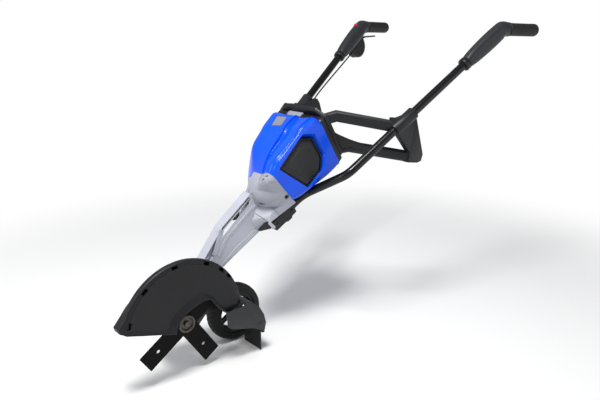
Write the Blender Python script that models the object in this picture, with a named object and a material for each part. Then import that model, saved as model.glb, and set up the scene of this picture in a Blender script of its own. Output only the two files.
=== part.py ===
"""Cordless lawn edger: cutting head, cast drive arm, battery motor housing and two-handled frame.

Metres, +Z up. The machine cuts towards -Y and the operator walks at +Y, so the
operator's left is +X. Sizes are measured from the hub of the blade, and the last
step sets the whole machine on the floor with its middle at the origin.
Pieces of the arm and motor are drawn in the drive line's own frame: x across,
s along the drive shaft away from the hub, n square to it, upwards.
"""
import math

import bmesh
import bpy
from mathutils import Matrix, Vector

# General clearances
GAP = 0.0003
WALL_GAP = 0.0015
WELD_REACH = 0.00001

# Machine layout, from the blade hub
MIDDLE_X = -0.073
SHAFT_TILT = math.radians(40.5)

# Blade
BLADE_REACH = 0.127
BLADE_WIDTH = 0.045
BLADE_THICKNESS = 0.004
BLADE_HOLE_RADIUS = 0.0045
BLADE_HOLE_REACH = 0.0865
BLADE_ANGLE = math.radians(34.0)
SPINDLE_NOSE_RADIUS = 0.006
SPINDLE_RADIUS = 0.0075
FLANGE_RADIUS = 0.021
FLANGE_THICKNESS = 0.004
CUP_RADIUS = 0.0215
CUP_DEPTH = 0.010
CUP_FLOOR = 0.004
BLADE_BOLT_RADIUS = 0.004
BOLT_HEAD_RADIUS = 0.0075
BOLT_HEAD_HEIGHT = 0.006
BLADE_BOLT_LENGTH = 0.026

# Gear case
CASE_RADIUS = 0.042
CASE_HALF_WIDTH = 0.033
CASE_WALL = 0.010
CASE_FAR_WALL = 0.0105
COVER_THICKNESS = 0.0055
COVER_SPIGOT = 0.012
NECK_RADIUS = 0.028
NECK_END = 0.072
BEARING_RADIUS = 0.0145
BEARING_WIDTH = 0.007
PINION_BEARING_START = 0.0335
GEAR_RADIUS = 0.022
PINION_RADIUS = 0.012
GEAR_TEETH = 22
PINION_TEETH = 12
TOOTH_DEPTH = 0.0022
GEAR_FACE = 0.0085

# Drive shaft
SHAFT_RADIUS = 0.005
SHAFT_BORE_RADIUS = 0.0080
COUPLING_RADIUS = 0.0074
COUPLING_START = 0.3165
COUPLING_LENGTH = 0.020

# Cast drive arm
ARM_NEAR = 0.028
ARM_WEB = 0.009
ARM_RAIL_WIDTH = 0.029
ARM_RAIL_HEIGHT = 0.007
ARM_TUBE_RADIUS = 0.0108
ARM_END = 0.3385
ARM_FOOT = 0.0765
ARM_POCKET_FLOOR = 0.003
ARM_LEDGE = 0.0005

# Motor and its bell
BELL_START = ARM_END + GAP
BELL_LENGTH = 0.0512
BELL_MOUTH = BELL_START + BELL_LENGTH
BELL_FLOOR = 0.0085
MOTOR_RADIUS = 0.0325
ROTOR_START_GAP = 0.002
ROTOR_END_GAP = 0.0039
STATOR_BORE = 0.0205
ROTOR_RADIUS = 0.0195
END_PLATE_THICKNESS = 0.0045

# Motor housing
HOUSING_HALF_WIDTH = 0.093
HOUSING_FAR_WIDTH = 0.096
HOUSING_WALL = 0.003
HOUSING_LENGTH = 0.164
REAR_START = BELL_MOUTH + HOUSING_LENGTH
REAR_LOW_N = -0.074
REAR_SLOPE = 0.172
REAR_COVER_THICKNESS = 0.018

# Battery and its tray
BATTERY_START = BELL_MOUTH + 0.0255
BATTERY_DEPTH = 0.050
BATTERY_SINK = 0.0035
BATTERY_FACE = HOUSING_HALF_WIDTH - BATTERY_SINK
TRAY_WALL = 0.0025
TRAY_SINK = 0.0045
CONTROLLER_START = BELL_MOUTH + 0.050
CONTROLLER_LENGTH = 0.070
CONTROLLER_LOW = -0.030
CONTROLLER_HEIGHT = 0.070
CONTROLLER_DEPTH = 0.030

# Release button and latch on the housing
BUTTON_WIDTH = 0.035
BUTTON_LENGTH = 0.041
BUTTON_X = -0.032
BUTTON_S = REAR_START - 0.008
BUTTON_TOP = 0.0730
BUTTON_SLOPE = 0.26
BUTTON_HEIGHT = 0.020
LATCH_WIDTH = 0.054
LATCH_X = -0.010
LATCH_LENGTH = 0.0155
LATCH_FLOOR = 0.0625
LATCH_HEIGHT = 0.007

# Tubes
TUBE_RADIUS = 0.011
TUBE_WALL = 0.0015
TUBE_CLAMP_X = 0.047
TUBE_LOW = (0.274, 0.170)
TUBE_BEND_LOW = (0.378, 0.230)
TUBE_BEND_HIGH = (0.165, 0.424, 0.299)
TUBE_DIRECTION = Vector((0.160, 0.8024, 0.575)).normalized()
BEND_RADIUS = 0.045

# Frame
FRAME_BAR_HEIGHT = 0.029
FRAME_BAR_DEPTH = 0.020
FRAME_ROOT_THICKNESS = 0.012
FRAME_ROOT_LOW = -0.066
FRAME_ROOT_HIGH = 0.080
FRAME_ROOT_TAPER = 0.028
FRAME_PLATE_LOW_X = 0.178
FRAME_PLATE_THICKNESS = 0.017
SOCKET_START = 0.170
SOCKET_LENGTH = 0.072
SOCKET_RADIUS = 0.0165

# Handles, placed along the upper run of their tubes
ELBOW_AT = 0.597
HANDLE_LENGTH = 0.160
HANDLE_START = ELBOW_AT - HANDLE_LENGTH
TUBE_TO_ELBOW = 0.052
GRIP_DIRECTION = Vector((0.131, 0.990, -0.030)).normalized()
GRIP_START = 0.022
GRIP_LENGTH = 0.119
GRIP_RADIUS = 0.018
GRIP_CORE_RADIUS = 0.012
COLLAR_RADIUS = 0.0175
COLLAR_LENGTH = 0.014
DRUM_RADIUS = 0.036
DRUM_HALF_WIDTH = 0.0135
DRUM_SHIFT = -0.003
DRUM_AT = ELBOW_AT - 0.062
DRUM_DROP = 0.030
TRIGGER_WIDTH = 0.009
TRIGGER_THICKNESS = 0.0045
TRIGGER_GAP = 0.0105
TRIGGER_REACH = 0.074
TRIGGER_PIN_RADIUS = 0.0025
LOCK_AT = ELBOW_AT - 0.022
LOCK_RADIUS = 0.007
LOCK_TRAVEL = 0.0035
CABLE_RADIUS = 0.0022
CABLE_ENTRY = 0.009

# Guard
GUARD_RADIUS = 0.1555
GUARD_CENTRE_Y = -0.005
GUARD_NEAR_X = 0.022
GUARD_FAR_X = -0.0135
GUARD_WALL = 0.003
GUARD_EDGE = 0.003
GUARD_RIM = 0.014
GUARD_SHOULDER = 0.012
FLAP_THICKNESS = 0.003

# Wheel
WHEEL_Y = 0.190
WHEEL_Z = -0.059
WHEEL_RADIUS = 0.0752
WHEEL_NEAR_X = -0.061
WHEEL_WIDTH = 0.044
RIM_RADIUS = 0.054
AXLE_RADIUS = 0.006
BUSH_RADIUS = 0.010
BUSH_LENGTH = 0.012
HUB_RADIUS = 0.016
SPOKES = 6
PIVOT_Y = 0.088
PIVOT_Z = 0.058
DEPTH_PLATE_THICKNESS = 0.006
DEPTH_PLATE_GAP = 0.003
DEPTH_PLATE_RADIUS = 0.040
DEPTH_RANGE = math.radians(24.0)
SLOT_RADIUS = 0.0275
SLOT_HALF_WIDTH = 0.0038
BOSS_RADIUS = 0.0115
KNOB_RADIUS = 0.016
KNOB_HEIGHT = 0.014
KNOB_SHANK_RADIUS = 0.003


def clear_scene():
    """Removes every object of the open scene."""
    for item in list(bpy.data.objects):
        bpy.data.objects.remove(item, do_unlink=True)


def empty(name, parent=None, location=(0, 0, 0), tilt=0.0):
    """An empty that carries pieces; tilt turns it about X."""
    item = bpy.data.objects.new(name, None)
    item.location = location
    item.rotation_euler = (tilt, 0.0, 0.0)
    item.parent = parent
    bpy.context.collection.objects.link(item)
    return item


def about(item, point):
    """Puts a piece's origin on its joint's axis, leaving its shape where it is."""
    point = Vector(point)
    item.data.transform(Matrix.Translation(-point))
    item.location = point
    return item


LOOKS = {
    "blue_plastic": ((0.012, 0.105, 0.72, 1.0), 0.25, 0.0),
    "cast_aluminium": ((0.46, 0.47, 0.53, 1.0), 0.45, 0.6),
    "dark_plastic": ((0.040, 0.042, 0.048, 1.0), 0.55, 0.0),
    "black_steel": ((0.012, 0.012, 0.012, 1.0), 0.40, 0.3),
    "black_paint": ((0.015, 0.015, 0.016, 1.0), 0.28, 0.0),
    "rubber": ((0.020, 0.020, 0.021, 1.0), 0.80, 0.0),
    "bright_steel": ((0.55, 0.55, 0.56, 1.0), 0.30, 1.0),
    "grey_plastic": ((0.33, 0.34, 0.37, 1.0), 0.45, 0.0),
    "red_plastic": ((0.50, 0.02, 0.03, 1.0), 0.35, 0.0),
    "battery_plastic": ((0.045, 0.046, 0.040, 1.0), 0.50, 0.0),
    "copper": ((0.70, 0.30, 0.14, 1.0), 0.35, 1.0),
    "brass": ((0.66, 0.48, 0.20, 1.0), 0.32, 1.0),
}


def material(look, name):
    """A Principled material of the part's own with the look's colour and finish."""
    colour, roughness, metallic = LOOKS[look]
    item = bpy.data.materials.new(name)
    item.use_nodes = True
    shader = item.node_tree.nodes["Principled BSDF"]
    shader.inputs["Base Color"].default_value = colour
    shader.inputs["Roughness"].default_value = roughness
    shader.inputs["Metallic"].default_value = metallic
    return item


def piece(name, points, faces, look, parent=None, sharp=35.0):
    """A named mesh object, its faces turned outwards, smooth except at sharp edges."""
    mesh = bpy.data.meshes.new(name)
    build = bmesh.new()
    verts = [build.verts.new(point) for point in points]
    for face in faces:
        build.faces.new([verts[i] for i in face])
    bmesh.ops.recalc_face_normals(build, faces=build.faces)
    build.to_mesh(mesh)
    build.free()
    mesh.shade_smooth()
    mesh.set_sharp_from_angle(angle=math.radians(sharp))
    item = bpy.data.objects.new(name, mesh)
    item.parent = parent or bpy.data.objects["machine"]
    item.data.materials.append(material(look, name))
    bpy.context.collection.objects.link(item)
    return item


def grid_faces(rings, count, closed_length=False, caps=True):
    """Quads between consecutive closed rings, with end caps where the length is open."""
    faces = []
    last = rings if closed_length else rings - 1
    for ring in range(last):
        after = (ring + 1) % rings
        for i in range(count):
            j = (i + 1) % count
            faces.append((ring * count + i, ring * count + j, after * count + j, after * count + i))
    if caps and not closed_length:
        faces.append(tuple(range(count)))
        faces.append(tuple((rings - 1) * count + i for i in range(count)))
    return faces


def loft(name, rings, look, parent=None, closed_length=False, sharp=35.0):
    """Skin over rings of equally many points, capped at both ends."""
    points = [point for ring in rings for point in ring]
    return piece(name, points, grid_faces(len(rings), len(rings[0]), closed_length), look, parent, sharp)


def prism(name, outline, low, high, look, parent=None, sharp=35.0):
    """An outline in the (y, z) plane drawn out along x from low to high."""
    rings = [[(x, y, z) for y, z in outline] for x in (low, high)]
    return loft(name, rings, look, parent, sharp=sharp)


def frame_of(axis):
    """Two unit vectors square to the axis and to each other."""
    axis = Vector(axis).normalized()
    side = axis.cross(Vector((0, 0, 1)))
    if side.length < 0.1:
        side = axis.cross(Vector((0, 1, 0)))
    side.normalize()
    return axis, side, axis.cross(side)



def turned(name, profile, axis, look, steps=24, origin=(0, 0, 0), parent=None, sharp=35.0):
    """A closed profile of (along, radius) spun round the axis; radius 0 points are poles."""
    axis = Vector(axis).normalized()
    _, side, up = frame_of(axis)
    origin = Vector(origin)
    points = []
    rows = []
    for along, radius in profile:
        centre = origin + axis * along
        if radius == 0.0:
            rows.append([len(points)] * steps)
            points.append(centre)
            continue
        row = []
        for i in range(steps):
            turn = 2 * math.pi * i / steps
            row.append(len(points))
            points.append(centre + side * (radius * math.cos(turn)) + up * (radius * math.sin(turn)))
        rows.append(row)
    faces = []
    for number, row in enumerate(rows):
        after = rows[(number + 1) % len(rows)]
        if row[0] == row[1] and after[0] == after[1]:
            continue
        for i in range(steps):
            j = (i + 1) % steps
            face = list(dict.fromkeys((row[i], row[j], after[j], after[i])))
            faces.append(tuple(face))
    return piece(name, points, faces, look, parent, sharp)


def rod(name, start, end, radius, look, steps=16, parent=None):
    """A plain round bar from start to end."""
    start = Vector(start)
    axis = Vector(end) - start
    profile = [(0.0, 0.0), (0.0, radius), (axis.length, radius), (axis.length, 0.0)]
    return turned(name, profile, axis, look, steps, start, parent)


def ring_profile(low, high, inner, outer):
    """A rectangular ring section from low to high."""
    return [(low, inner), (low, outer), (high, outer), (high, inner)]


def as_cutter(item):
    """Marks an object as a tool for its neighbours only."""
    item.hide_render = True
    item.display_type = "WIRE"
    return item


def combine(item, tool, operation):
    """Cuts the tool from the item, or joins it on, and closes the hairline left along the cut."""
    as_cutter(tool)
    step = item.modifiers.new(operation.lower(), "BOOLEAN")
    step.operation = operation
    step.solver = "EXACT"
    step.object = tool
    weld = item.modifiers.new("weld", "WELD")
    weld.merge_threshold = WELD_REACH
    return item


def cut(item, tool):
    """Takes the tool's shape out of the item."""
    return combine(item, tool, "DIFFERENCE")


def join(item, tool):
    """Makes the tool's shape part of the item."""
    return combine(item, tool, "UNION")


def drill(item, start, end, radius, steps=16, parent=None):
    """A round hole from start to end."""
    return cut(item, rod(item.name + "_drill", start, end, radius, "bright_steel", steps, parent))


def mirrored(point, side):
    """A near-side point given from the middle plane, or its twin on the far side."""
    return Vector((MIDDLE_X + side * point[0], point[1], point[2]))


def rounded_path(corners, radius, steps):
    """The corners joined by straight runs, each bend an arc of the radius."""
    path = [Vector(corners[0])]
    for before, corner, after in zip(corners, corners[1:], corners[2:]):
        corner = Vector(corner)
        back = (Vector(before) - corner).normalized()
        ahead = (Vector(after) - corner).normalized()
        half = back.angle(ahead) / 2
        reach = radius / math.tan(half)
        centre = corner + (back + ahead).normalized() * (radius / math.sin(half))
        first = corner + back * reach - centre
        last = corner + ahead * reach - centre
        total = first.angle(last)
        for i in range(steps + 1):
            share = i / steps
            near = math.sin((1 - share) * total) / math.sin(total)
            far = math.sin(share * total) / math.sin(total)
            path.append(centre + first * near + last * far)
    path.append(Vector(corners[-1]))
    return path


def path_frames(path):
    """A direction and two square directions at each point, carried without twist."""
    frames = []
    _, side, _ = frame_of(path[1] - path[0])
    for i, point in enumerate(path):
        behind = path[max(i - 1, 0)]
        ahead = path[min(i + 1, len(path) - 1)]
        if i == 0 or i == len(path) - 1:
            along = (ahead - behind).normalized()
        else:
            along = ((ahead - point).normalized() + (point - behind).normalized()).normalized()
        side = (side - along * side.dot(along)).normalized()
        frames.append((point, along, side, along.cross(side)))
    return frames


def pipe(name, path, outer, inner, look, steps=16, parent=None):
    """A hollow tube along a path, open at both ends."""
    rings = []
    frames = path_frames(path)
    for radius, order in ((outer, frames), (inner, frames[::-1])):
        for point, _, side, up in order:
            ring = []
            for i in range(steps):
                turn = 2 * math.pi * i / steps
                ring.append(point + side * (radius * math.cos(turn)) + up * (radius * math.sin(turn)))
            rings.append(ring)
    return loft(name, rings, look, parent, closed_length=True)



def bar(name, path, width, height, upward, look, parent=None):
    """A bar of octagonal section along a path; upward points to its top."""
    chamfer = min(width, height) * 0.28
    section = [
        (width / 2, -height / 2 + chamfer), (width / 2, height / 2 - chamfer),
        (width / 2 - chamfer, height / 2), (-width / 2 + chamfer, height / 2),
        (-width / 2, height / 2 - chamfer), (-width / 2, -height / 2 + chamfer),
        (-width / 2 + chamfer, -height / 2), (width / 2 - chamfer, -height / 2),
    ]
    rings = []
    for point, along, _, _ in path_frames([Vector(p) for p in path]):
        side = along.cross(Vector(upward)).normalized()
        top = side.cross(along)
        rings.append([point + side * a + top * b for a, b in section])
    return loft(name, rings, look, parent)


def arc_points(centre, radius, start, end, steps):
    """Points of an arc in the (y, z) plane, from start to end in degrees."""
    points = []
    for i in range(steps + 1):
        turn = math.radians(start + (end - start) * i / steps)
        points.append((centre[0] + radius * math.cos(turn), centre[1] + radius * math.sin(turn)))
    return points


def rotate_2d(points, angle):
    """Turns (y, z) points about the hub."""
    c, s = math.cos(angle), math.sin(angle)
    return [(y * c - z * s, y * s + z * c) for y, z in points]




def blade_stack():
    """Where each piece along the spindle begins, from the near face of the blades inwards."""
    front_bar = -BLADE_THICKNESS
    rear_bar = front_bar - GAP - BLADE_THICKNESS
    flange = rear_bar - GAP - FLANGE_THICKNESS
    return front_bar, rear_bar, flange


def case_faces():
    """Far and near outer faces of the gear case along x."""
    return MIDDLE_X - CASE_HALF_WIDTH, MIDDLE_X + CASE_HALF_WIDTH


def blade_bar(name, near_x, angle, parent):
    """A straight bar with two cutting ends, a centre hole and a hole near each end."""
    corners = [
        (-BLADE_REACH, -BLADE_WIDTH / 2), (BLADE_REACH, -BLADE_WIDTH / 2),
        (BLADE_REACH, BLADE_WIDTH / 2), (-BLADE_REACH, BLADE_WIDTH / 2),
    ]
    outline = rotate_2d(corners, angle)
    item = prism(name, outline, near_x - BLADE_THICKNESS, near_x, "black_steel", parent)
    spots = rotate_2d([(0, 0), (BLADE_HOLE_REACH, 0), (-BLADE_HOLE_REACH, 0)], angle)
    radii = (SPINDLE_NOSE_RADIUS + GAP, BLADE_HOLE_RADIUS, BLADE_HOLE_RADIUS)
    for (y, z), radius in zip(spots, radii):
        start = (near_x + 0.002, y, z)
        end = (near_x - BLADE_THICKNESS - 0.002, y, z)
        drill(item, start, end, radius, 16, parent)
    return item


def spindle_and_blades(parent):
    """Everything that turns with the blade about the hub's x axis."""
    front_bar, rear_bar, flange = blade_stack()
    far, _ = case_faces()
    blade_bar("blade_bar_front", 0.0, BLADE_ANGLE, parent)
    blade_bar("blade_bar_rear", front_bar - GAP, BLADE_ANGLE + math.pi / 2, parent)
    ring = ring_profile(flange, rear_bar - GAP, SPINDLE_NOSE_RADIUS + GAP, FLANGE_RADIUS)
    turned("blade_flange", ring, (1, 0, 0), "bright_steel", 28, parent=parent)
    cup = [
        (GAP, BLADE_BOLT_RADIUS + GAP), (GAP, CUP_RADIUS), (CUP_DEPTH - 0.002, CUP_RADIUS),
        (CUP_DEPTH, CUP_RADIUS - 0.002), (CUP_DEPTH, CUP_RADIUS - 0.006), (CUP_FLOOR, CUP_RADIUS - 0.008),
        (CUP_FLOOR, BLADE_BOLT_RADIUS + GAP),
    ]
    turned("blade_cup", cup, (1, 0, 0), "bright_steel", 28, parent=parent)
    shank_end = CUP_FLOOR + GAP - BLADE_BOLT_LENGTH
    head_start = CUP_FLOOR + GAP
    bolt = [
        (shank_end, 0.0), (shank_end, BLADE_BOLT_RADIUS), (head_start, BLADE_BOLT_RADIUS),
        (head_start, BOLT_HEAD_RADIUS), (head_start + BOLT_HEAD_HEIGHT, BOLT_HEAD_RADIUS),
        (head_start + BOLT_HEAD_HEIGHT, 0.0),
    ]
    turned("blade_bolt", bolt, (1, 0, 0), "bright_steel", 6, parent=parent, sharp=20)
    seat = far + CASE_FAR_WALL - BEARING_WIDTH
    tail = SPINDLE_NOSE_RADIUS
    bore_end = shank_end - 0.002
    spindle = [
        (seat, 0.0), (seat, tail), (far + CASE_FAR_WALL + GAP, tail),
        (far + CASE_FAR_WALL + GAP, SPINDLE_RADIUS), (flange - GAP, SPINDLE_RADIUS),
        (flange - GAP, SPINDLE_NOSE_RADIUS), (0.0, SPINDLE_NOSE_RADIUS), (0.0, BLADE_BOLT_RADIUS + GAP),
        (bore_end, BLADE_BOLT_RADIUS + GAP), (bore_end, 0.0),
    ]
    turned("blade_spindle", spindle, (1, 0, 0), "bright_steel", 20, parent=parent)
    bevel_gear("bevel_gear", (-1, 0, 0), (MIDDLE_X, 0, 0), GEAR_RADIUS, PINION_RADIUS, GEAR_TEETH,
               SPINDLE_RADIUS + GAP, parent)


def bevel_gear(name, away, apex, radius, mate_radius, teeth, bore, parent):
    """A straight bevel gear whose cone meets its mate's at the apex; away points from the apex."""
    inner = 0.62
    back = mate_radius + GEAR_FACE
    clearance = 0.0006

    def ring(along, tip, root):
        points = []
        for tooth in range(teeth):
            for part, reach in ((0.0, tip), (0.30, tip), (0.50, root), (0.80, root)):
                points.append((along, reach, 2 * math.pi * (tooth + part) / teeth))
        return points

    front = ring(mate_radius * inner + clearance, radius * inner, radius * inner - TOOTH_DEPTH * inner)
    wide = ring(mate_radius + clearance, radius, radius - TOOTH_DEPTH)
    heel = ring(back, radius - 0.003, radius - 0.003 - TOOTH_DEPTH / 2)
    bore_back = [(back, bore, turn) for _, _, turn in heel]
    bore_front = [(mate_radius * inner + clearance, bore, turn) for _, _, turn in front]
    axis, side, up = frame_of(away)
    rings = []
    for row in (front, wide, heel, bore_back, bore_front):
        rings.append([
            Vector(apex) + axis * along + side * (reach * math.cos(turn)) + up * (reach * math.sin(turn))
            for along, reach, turn in row
        ])
    return loft(name, rings, "bright_steel", parent, closed_length=True, sharp=20)


def gear_case(drive_line):
    """The round case of the gears with its neck towards the arm, and the cover on its near side."""
    far, near = case_faces()
    case = rod("gear_case", (far, 0, 0), (near, 0, 0), CASE_RADIUS, "cast_aluminium", 32)
    axis = Vector((0, math.cos(SHAFT_TILT), math.sin(SHAFT_TILT)))
    middle = Vector((MIDDLE_X, 0, 0))
    neck = rod("gear_case_neck", middle + axis * 0.03, middle + axis * NECK_END, NECK_RADIUS,
               "cast_aluminium", 24)
    join(case, neck)
    cavity_radius = CASE_RADIUS - CASE_WALL
    drill(case, (far + CASE_FAR_WALL, 0, 0), (near + 0.01, 0, 0), cavity_radius, 28)
    drill(case, middle, middle + axis * (NECK_END + 0.01), BEARING_RADIUS + GAP, 20)
    drill(case, (far + CASE_FAR_WALL - BEARING_WIDTH - GAP, 0, 0), (far + CASE_FAR_WALL + 0.005, 0, 0),
          BEARING_RADIUS + GAP, 20)
    seat = far + CASE_FAR_WALL - BEARING_WIDTH
    turned("spindle_bearing_far", ring_profile(seat, seat + BEARING_WIDTH, SPINDLE_NOSE_RADIUS + GAP,
           BEARING_RADIUS), (1, 0, 0), "bright_steel", 20)
    spigot = near + GAP - COVER_SPIGOT
    outer_face = near + GAP + COVER_THICKNESS
    pocket = spigot + BEARING_WIDTH + GAP
    cover = [
        (spigot, BEARING_RADIUS + GAP), (spigot, cavity_radius - GAP), (near + GAP, cavity_radius - GAP),
        (near + GAP, CASE_RADIUS - 0.001), (outer_face, CASE_RADIUS - 0.001),
        (outer_face, SPINDLE_RADIUS + 0.002), (pocket, SPINDLE_RADIUS + 0.002),
        (pocket, BEARING_RADIUS + GAP),
    ]
    turned("gear_case_cover", cover, (1, 0, 0), "cast_aluminium", 28)
    turned("spindle_bearing_near", ring_profile(spigot, spigot + BEARING_WIDTH, SPINDLE_RADIUS + GAP,
           BEARING_RADIUS), (1, 0, 0), "bright_steel", 20)
    turned("pinion_bearing", ring_profile(PINION_BEARING_START, PINION_BEARING_START + BEARING_WIDTH + 0.003,
           SHAFT_RADIUS + GAP, BEARING_RADIUS), (0, 1, 0), "bright_steel", 20, (MIDDLE_X, 0, 0), drive_line)


def arm_web_outline():
    """The arm's flat near web in (s, n): it widens upwards and ends in a foot under the bell."""
    low, high = NECK_END + GAP, ARM_END
    return [
        (low, -0.030), (low, 0.026), (0.100, 0.026), (0.139, 0.0345), (0.228, 0.0525), (high, 0.0485),
        (high, -0.0560), (high + ARM_FOOT, -0.0640), (high + ARM_FOOT, -0.0690), (high + 0.0065, -0.0590),
        (high - 0.0505, -0.0455), (0.195, -0.0290), (0.150, -0.0225), (0.110, -0.0225),
    ]


def arm_rail_outline():
    """The wide rail along the arm's front edge in (s, n)."""
    low, high = NECK_END + GAP + ARM_LEDGE, ARM_END - ARM_LEDGE
    top = [(low, 0.0240), (0.139, 0.0350), (0.228, 0.0535), (high, 0.0495)]
    return top + [(s, n - ARM_RAIL_HEIGHT) for s, n in reversed(top)]


def arm_window(web, near, parent):
    """The tool for the arm's long window, whose lower edge falls away from the near side."""
    lower = [(0.2130, 0.0350), (ARM_END - 0.0185, 0.0320)]
    upper = [(ARM_END - 0.0045, 0.0413), (0.2270, 0.0440)]
    fall = 0.87
    rings = []
    for x in (near + 0.002, web - 0.006):
        drop = fall * (near - x)
        rings.append([(x, s, n - drop) for s, n in lower] + [(x, s, n) for s, n in upper])
    faces = grid_faces(len(rings), len(rings[0]))
    halves = [half for a, b, c, d in faces for half in ((a, b, c), (a, c, d))]
    return piece("arm_window", rings[0] + rings[1], halves, "cast_aluminium", parent)


def drive_arm(parent):
    """The cast arm: a flat web, a wide front rail, a tube round the shaft and two bosses."""
    near = MIDDLE_X + ARM_NEAR
    web = near - ARM_WEB
    inside = web + ARM_LEDGE * 3
    arm = prism("drive_arm", arm_web_outline(), web, near, "cast_aluminium", parent)
    join(arm, prism("arm_rail", arm_rail_outline(), near - ARM_RAIL_WIDTH, near - ARM_LEDGE, "cast_aluminium",
                    parent))
    low = (MIDDLE_X, NECK_END + GAP + ARM_LEDGE, 0)
    high = (MIDDLE_X, ARM_END - ARM_LEDGE, 0)
    join(arm, rod("arm_tube", low, high, ARM_TUBE_RADIUS, "cast_aluminium", 20, parent))
    collar_end = (MIDDLE_X, NECK_END + 0.012, 0)
    join(arm, rod("arm_collar", low, collar_end, NECK_RADIUS - ARM_LEDGE * 4, "cast_aluminium", 24, parent))
    rib_low, rib_high = NECK_END + ARM_LEDGE * 4, ARM_END - ARM_LEDGE * 6
    rib = [(rib_low, -0.0060), (rib_high, -0.0060), (rib_high, 0.0060), (rib_low, 0.0060)]
    join(arm, prism("arm_rib", rib, MIDDLE_X, inside, "cast_aluminium", parent))
    foot = [
        (ARM_END - 0.0425, -0.0455), (ARM_END - 0.0425, -0.0385), (ARM_END - 0.0065, -0.0470),
        (ARM_END + 0.0565, -0.0630), (ARM_END + 0.0595, -0.0660), (ARM_END + 0.0065, -0.0575),
    ]
    join(arm, prism("arm_foot", foot, MIDDLE_X - ARM_NEAR, inside, "cast_aluminium", parent))
    boss_face = depth_plate_faces()[1] + GAP
    for y, z in (depth_pivot(), lock_place()):
        s, n = along_drive(y, z)
        boss = rod("arm_boss", (boss_face, s, n), (inside, s, n), BOSS_RADIUS, "cast_aluminium", 18, parent)
        join(arm, boss)
    cut(arm, arm_window(web, near, parent))
    pocket = [(0.120, 0.0190), (0.1650, 0.0193), (0.2060, 0.0405), (0.2010, 0.0420), (0.139, 0.0265)]
    cut(arm, prism("arm_pocket", pocket, web + ARM_POCKET_FLOOR, near + 0.01, "cast_aluminium", parent))
    drill(arm, (MIDDLE_X, NECK_END - 0.01, 0), (MIDDLE_X, ARM_END + 0.01, 0), SHAFT_BORE_RADIUS, 16, parent)
    for (y, z), radius in ((depth_pivot(), AXLE_RADIUS), (lock_place(), KNOB_SHANK_RADIUS)):
        s, n = along_drive(y, z)
        drill(arm, (boss_face - 0.002, s, n), (boss_face + 0.020 + GAP, s, n), radius + GAP, 14, parent)
    return arm


def along_drive(y, z):
    """A world (y, z) point in the drive line's (s, n)."""
    c, sn = math.cos(SHAFT_TILT), math.sin(SHAFT_TILT)
    return y * c + z * sn, z * c - y * sn


def off_drive(s, n):
    """A drive line (s, n) point in the world's (y, z)."""
    c, sn = math.cos(SHAFT_TILT), math.sin(SHAFT_TILT)
    return s * c - n * sn, s * sn + n * c


def grow(outline, distance):
    """A convex outline with every edge moved outwards by the distance."""
    count = len(outline)
    area = sum(outline[i][0] * outline[(i + 1) % count][1] - outline[(i + 1) % count][0] * outline[i][1]
               for i in range(count))
    turn = 1 if area > 0 else -1
    grown = []
    for i in range(count):
        before, here, after = outline[i - 1], outline[i], outline[(i + 1) % count]
        first = Vector((here[0] - before[0], here[1] - before[1])).normalized()
        second = Vector((after[0] - here[0], after[1] - here[1])).normalized()
        out_first = Vector((first.y, -first.x)) * turn
        out_second = Vector((second.y, -second.x)) * turn
        middle = (out_first + out_second).normalized()
        reach = distance / middle.dot(out_first)
        grown.append((here[0] + middle.x * reach, here[1] + middle.y * reach))
    return grown


def spline_ring(controls, steps):
    """A closed smooth curve through the control points, steps points for each."""
    count = len(controls)
    ring = []
    for i in range(count):
        a, b, c, d = (Vector(controls[(i + k) % count]) for k in (-1, 0, 1, 2))
        for k in range(steps):
            t = k / steps
            point = 0.5 * ((2 * b) + (c - a) * t + (2 * a - 5 * b + 4 * c - d) * t * t
                           + (3 * b - a - 3 * c + d) * t ** 3)
            ring.append(point)
    return ring


def section_points(shape, inset=0.0):
    """(x, n) points round the bell or the housing.

    The shape holds the near side's x, the near top's n, the crease's x and n, the front's n, the
    far shoulder's x and n, the far side's x, the bottom's n and the near bottom edge's n.
    """
    near, near_top, crease_x, crease_n, front, shoulder_x, shoulder_n, far, low, near_low = shape
    depth = shoulder_n - low
    controls = [
        (near, (near_top + near_low) / 2), (near, near_top), (crease_x, crease_n),
        (crease_x * 0.55, crease_n * 0.45 + front * 0.55), (0.0, front), (shoulder_x, shoulder_n),
        (-far, shoulder_n - depth * 0.32), (-far, low + depth * 0.26), (-far * 0.75, low + depth * 0.085),
        (-far * 0.30, low), (near * 0.35, low), (near * 0.80, near_low * 0.6 + low * 0.4 - 0.001),
        (near, near_low),
    ]
    ring = spline_ring([(x, n, 0) for x, n in controls], 2)
    count = len(ring)
    points = []
    for i, point in enumerate(ring):
        along = ring[(i + 1) % count] - ring[i - 1]
        inwards = Vector((-along.y, along.x, 0)).normalized()
        moved = point + inwards * inset
        points.append((MIDDLE_X + moved.x, moved.y))
    return points


def housing_shapes():
    """Along s: the housing's section shapes from its mouth to its rear."""
    near, far, mouth = HOUSING_HALF_WIDTH, HOUSING_FAR_WIDTH, BELL_MOUTH
    return [
        (mouth + GAP, (near - 0.0015, 0.066, near - 0.015, 0.084, 0.055,
                       0.050 - far, 0.0365, far - 0.024, -0.0465, -0.014)),
        (mouth + 0.025, (near - 0.0005, 0.080, near - 0.012, 0.0945, 0.068,
                         0.046 - far, 0.0500, far - 0.011, -0.0510, -0.026)),
        (mouth + 0.065, (near, 0.080, near - 0.010, 0.0925, 0.080,
                         0.036 - far, 0.0680, far - 0.003, -0.0590, -0.038)),
        (mouth + 0.115, (near, 0.082, near - 0.010, 0.0950, 0.083,
                         0.028 - far, 0.0725, far, -0.067, -0.054)),
        (mouth + 0.142, (near, 0.082, near - 0.013, 0.0960, 0.080,
                         0.023 - far, 0.0725, far, -0.070, -0.060)),
        (REAR_START, (near, 0.052, near - 0.006, 0.066, 0.067,
                      0.015 - far, 0.0655, far, REAR_LOW_N, -0.064)),
    ]


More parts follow.
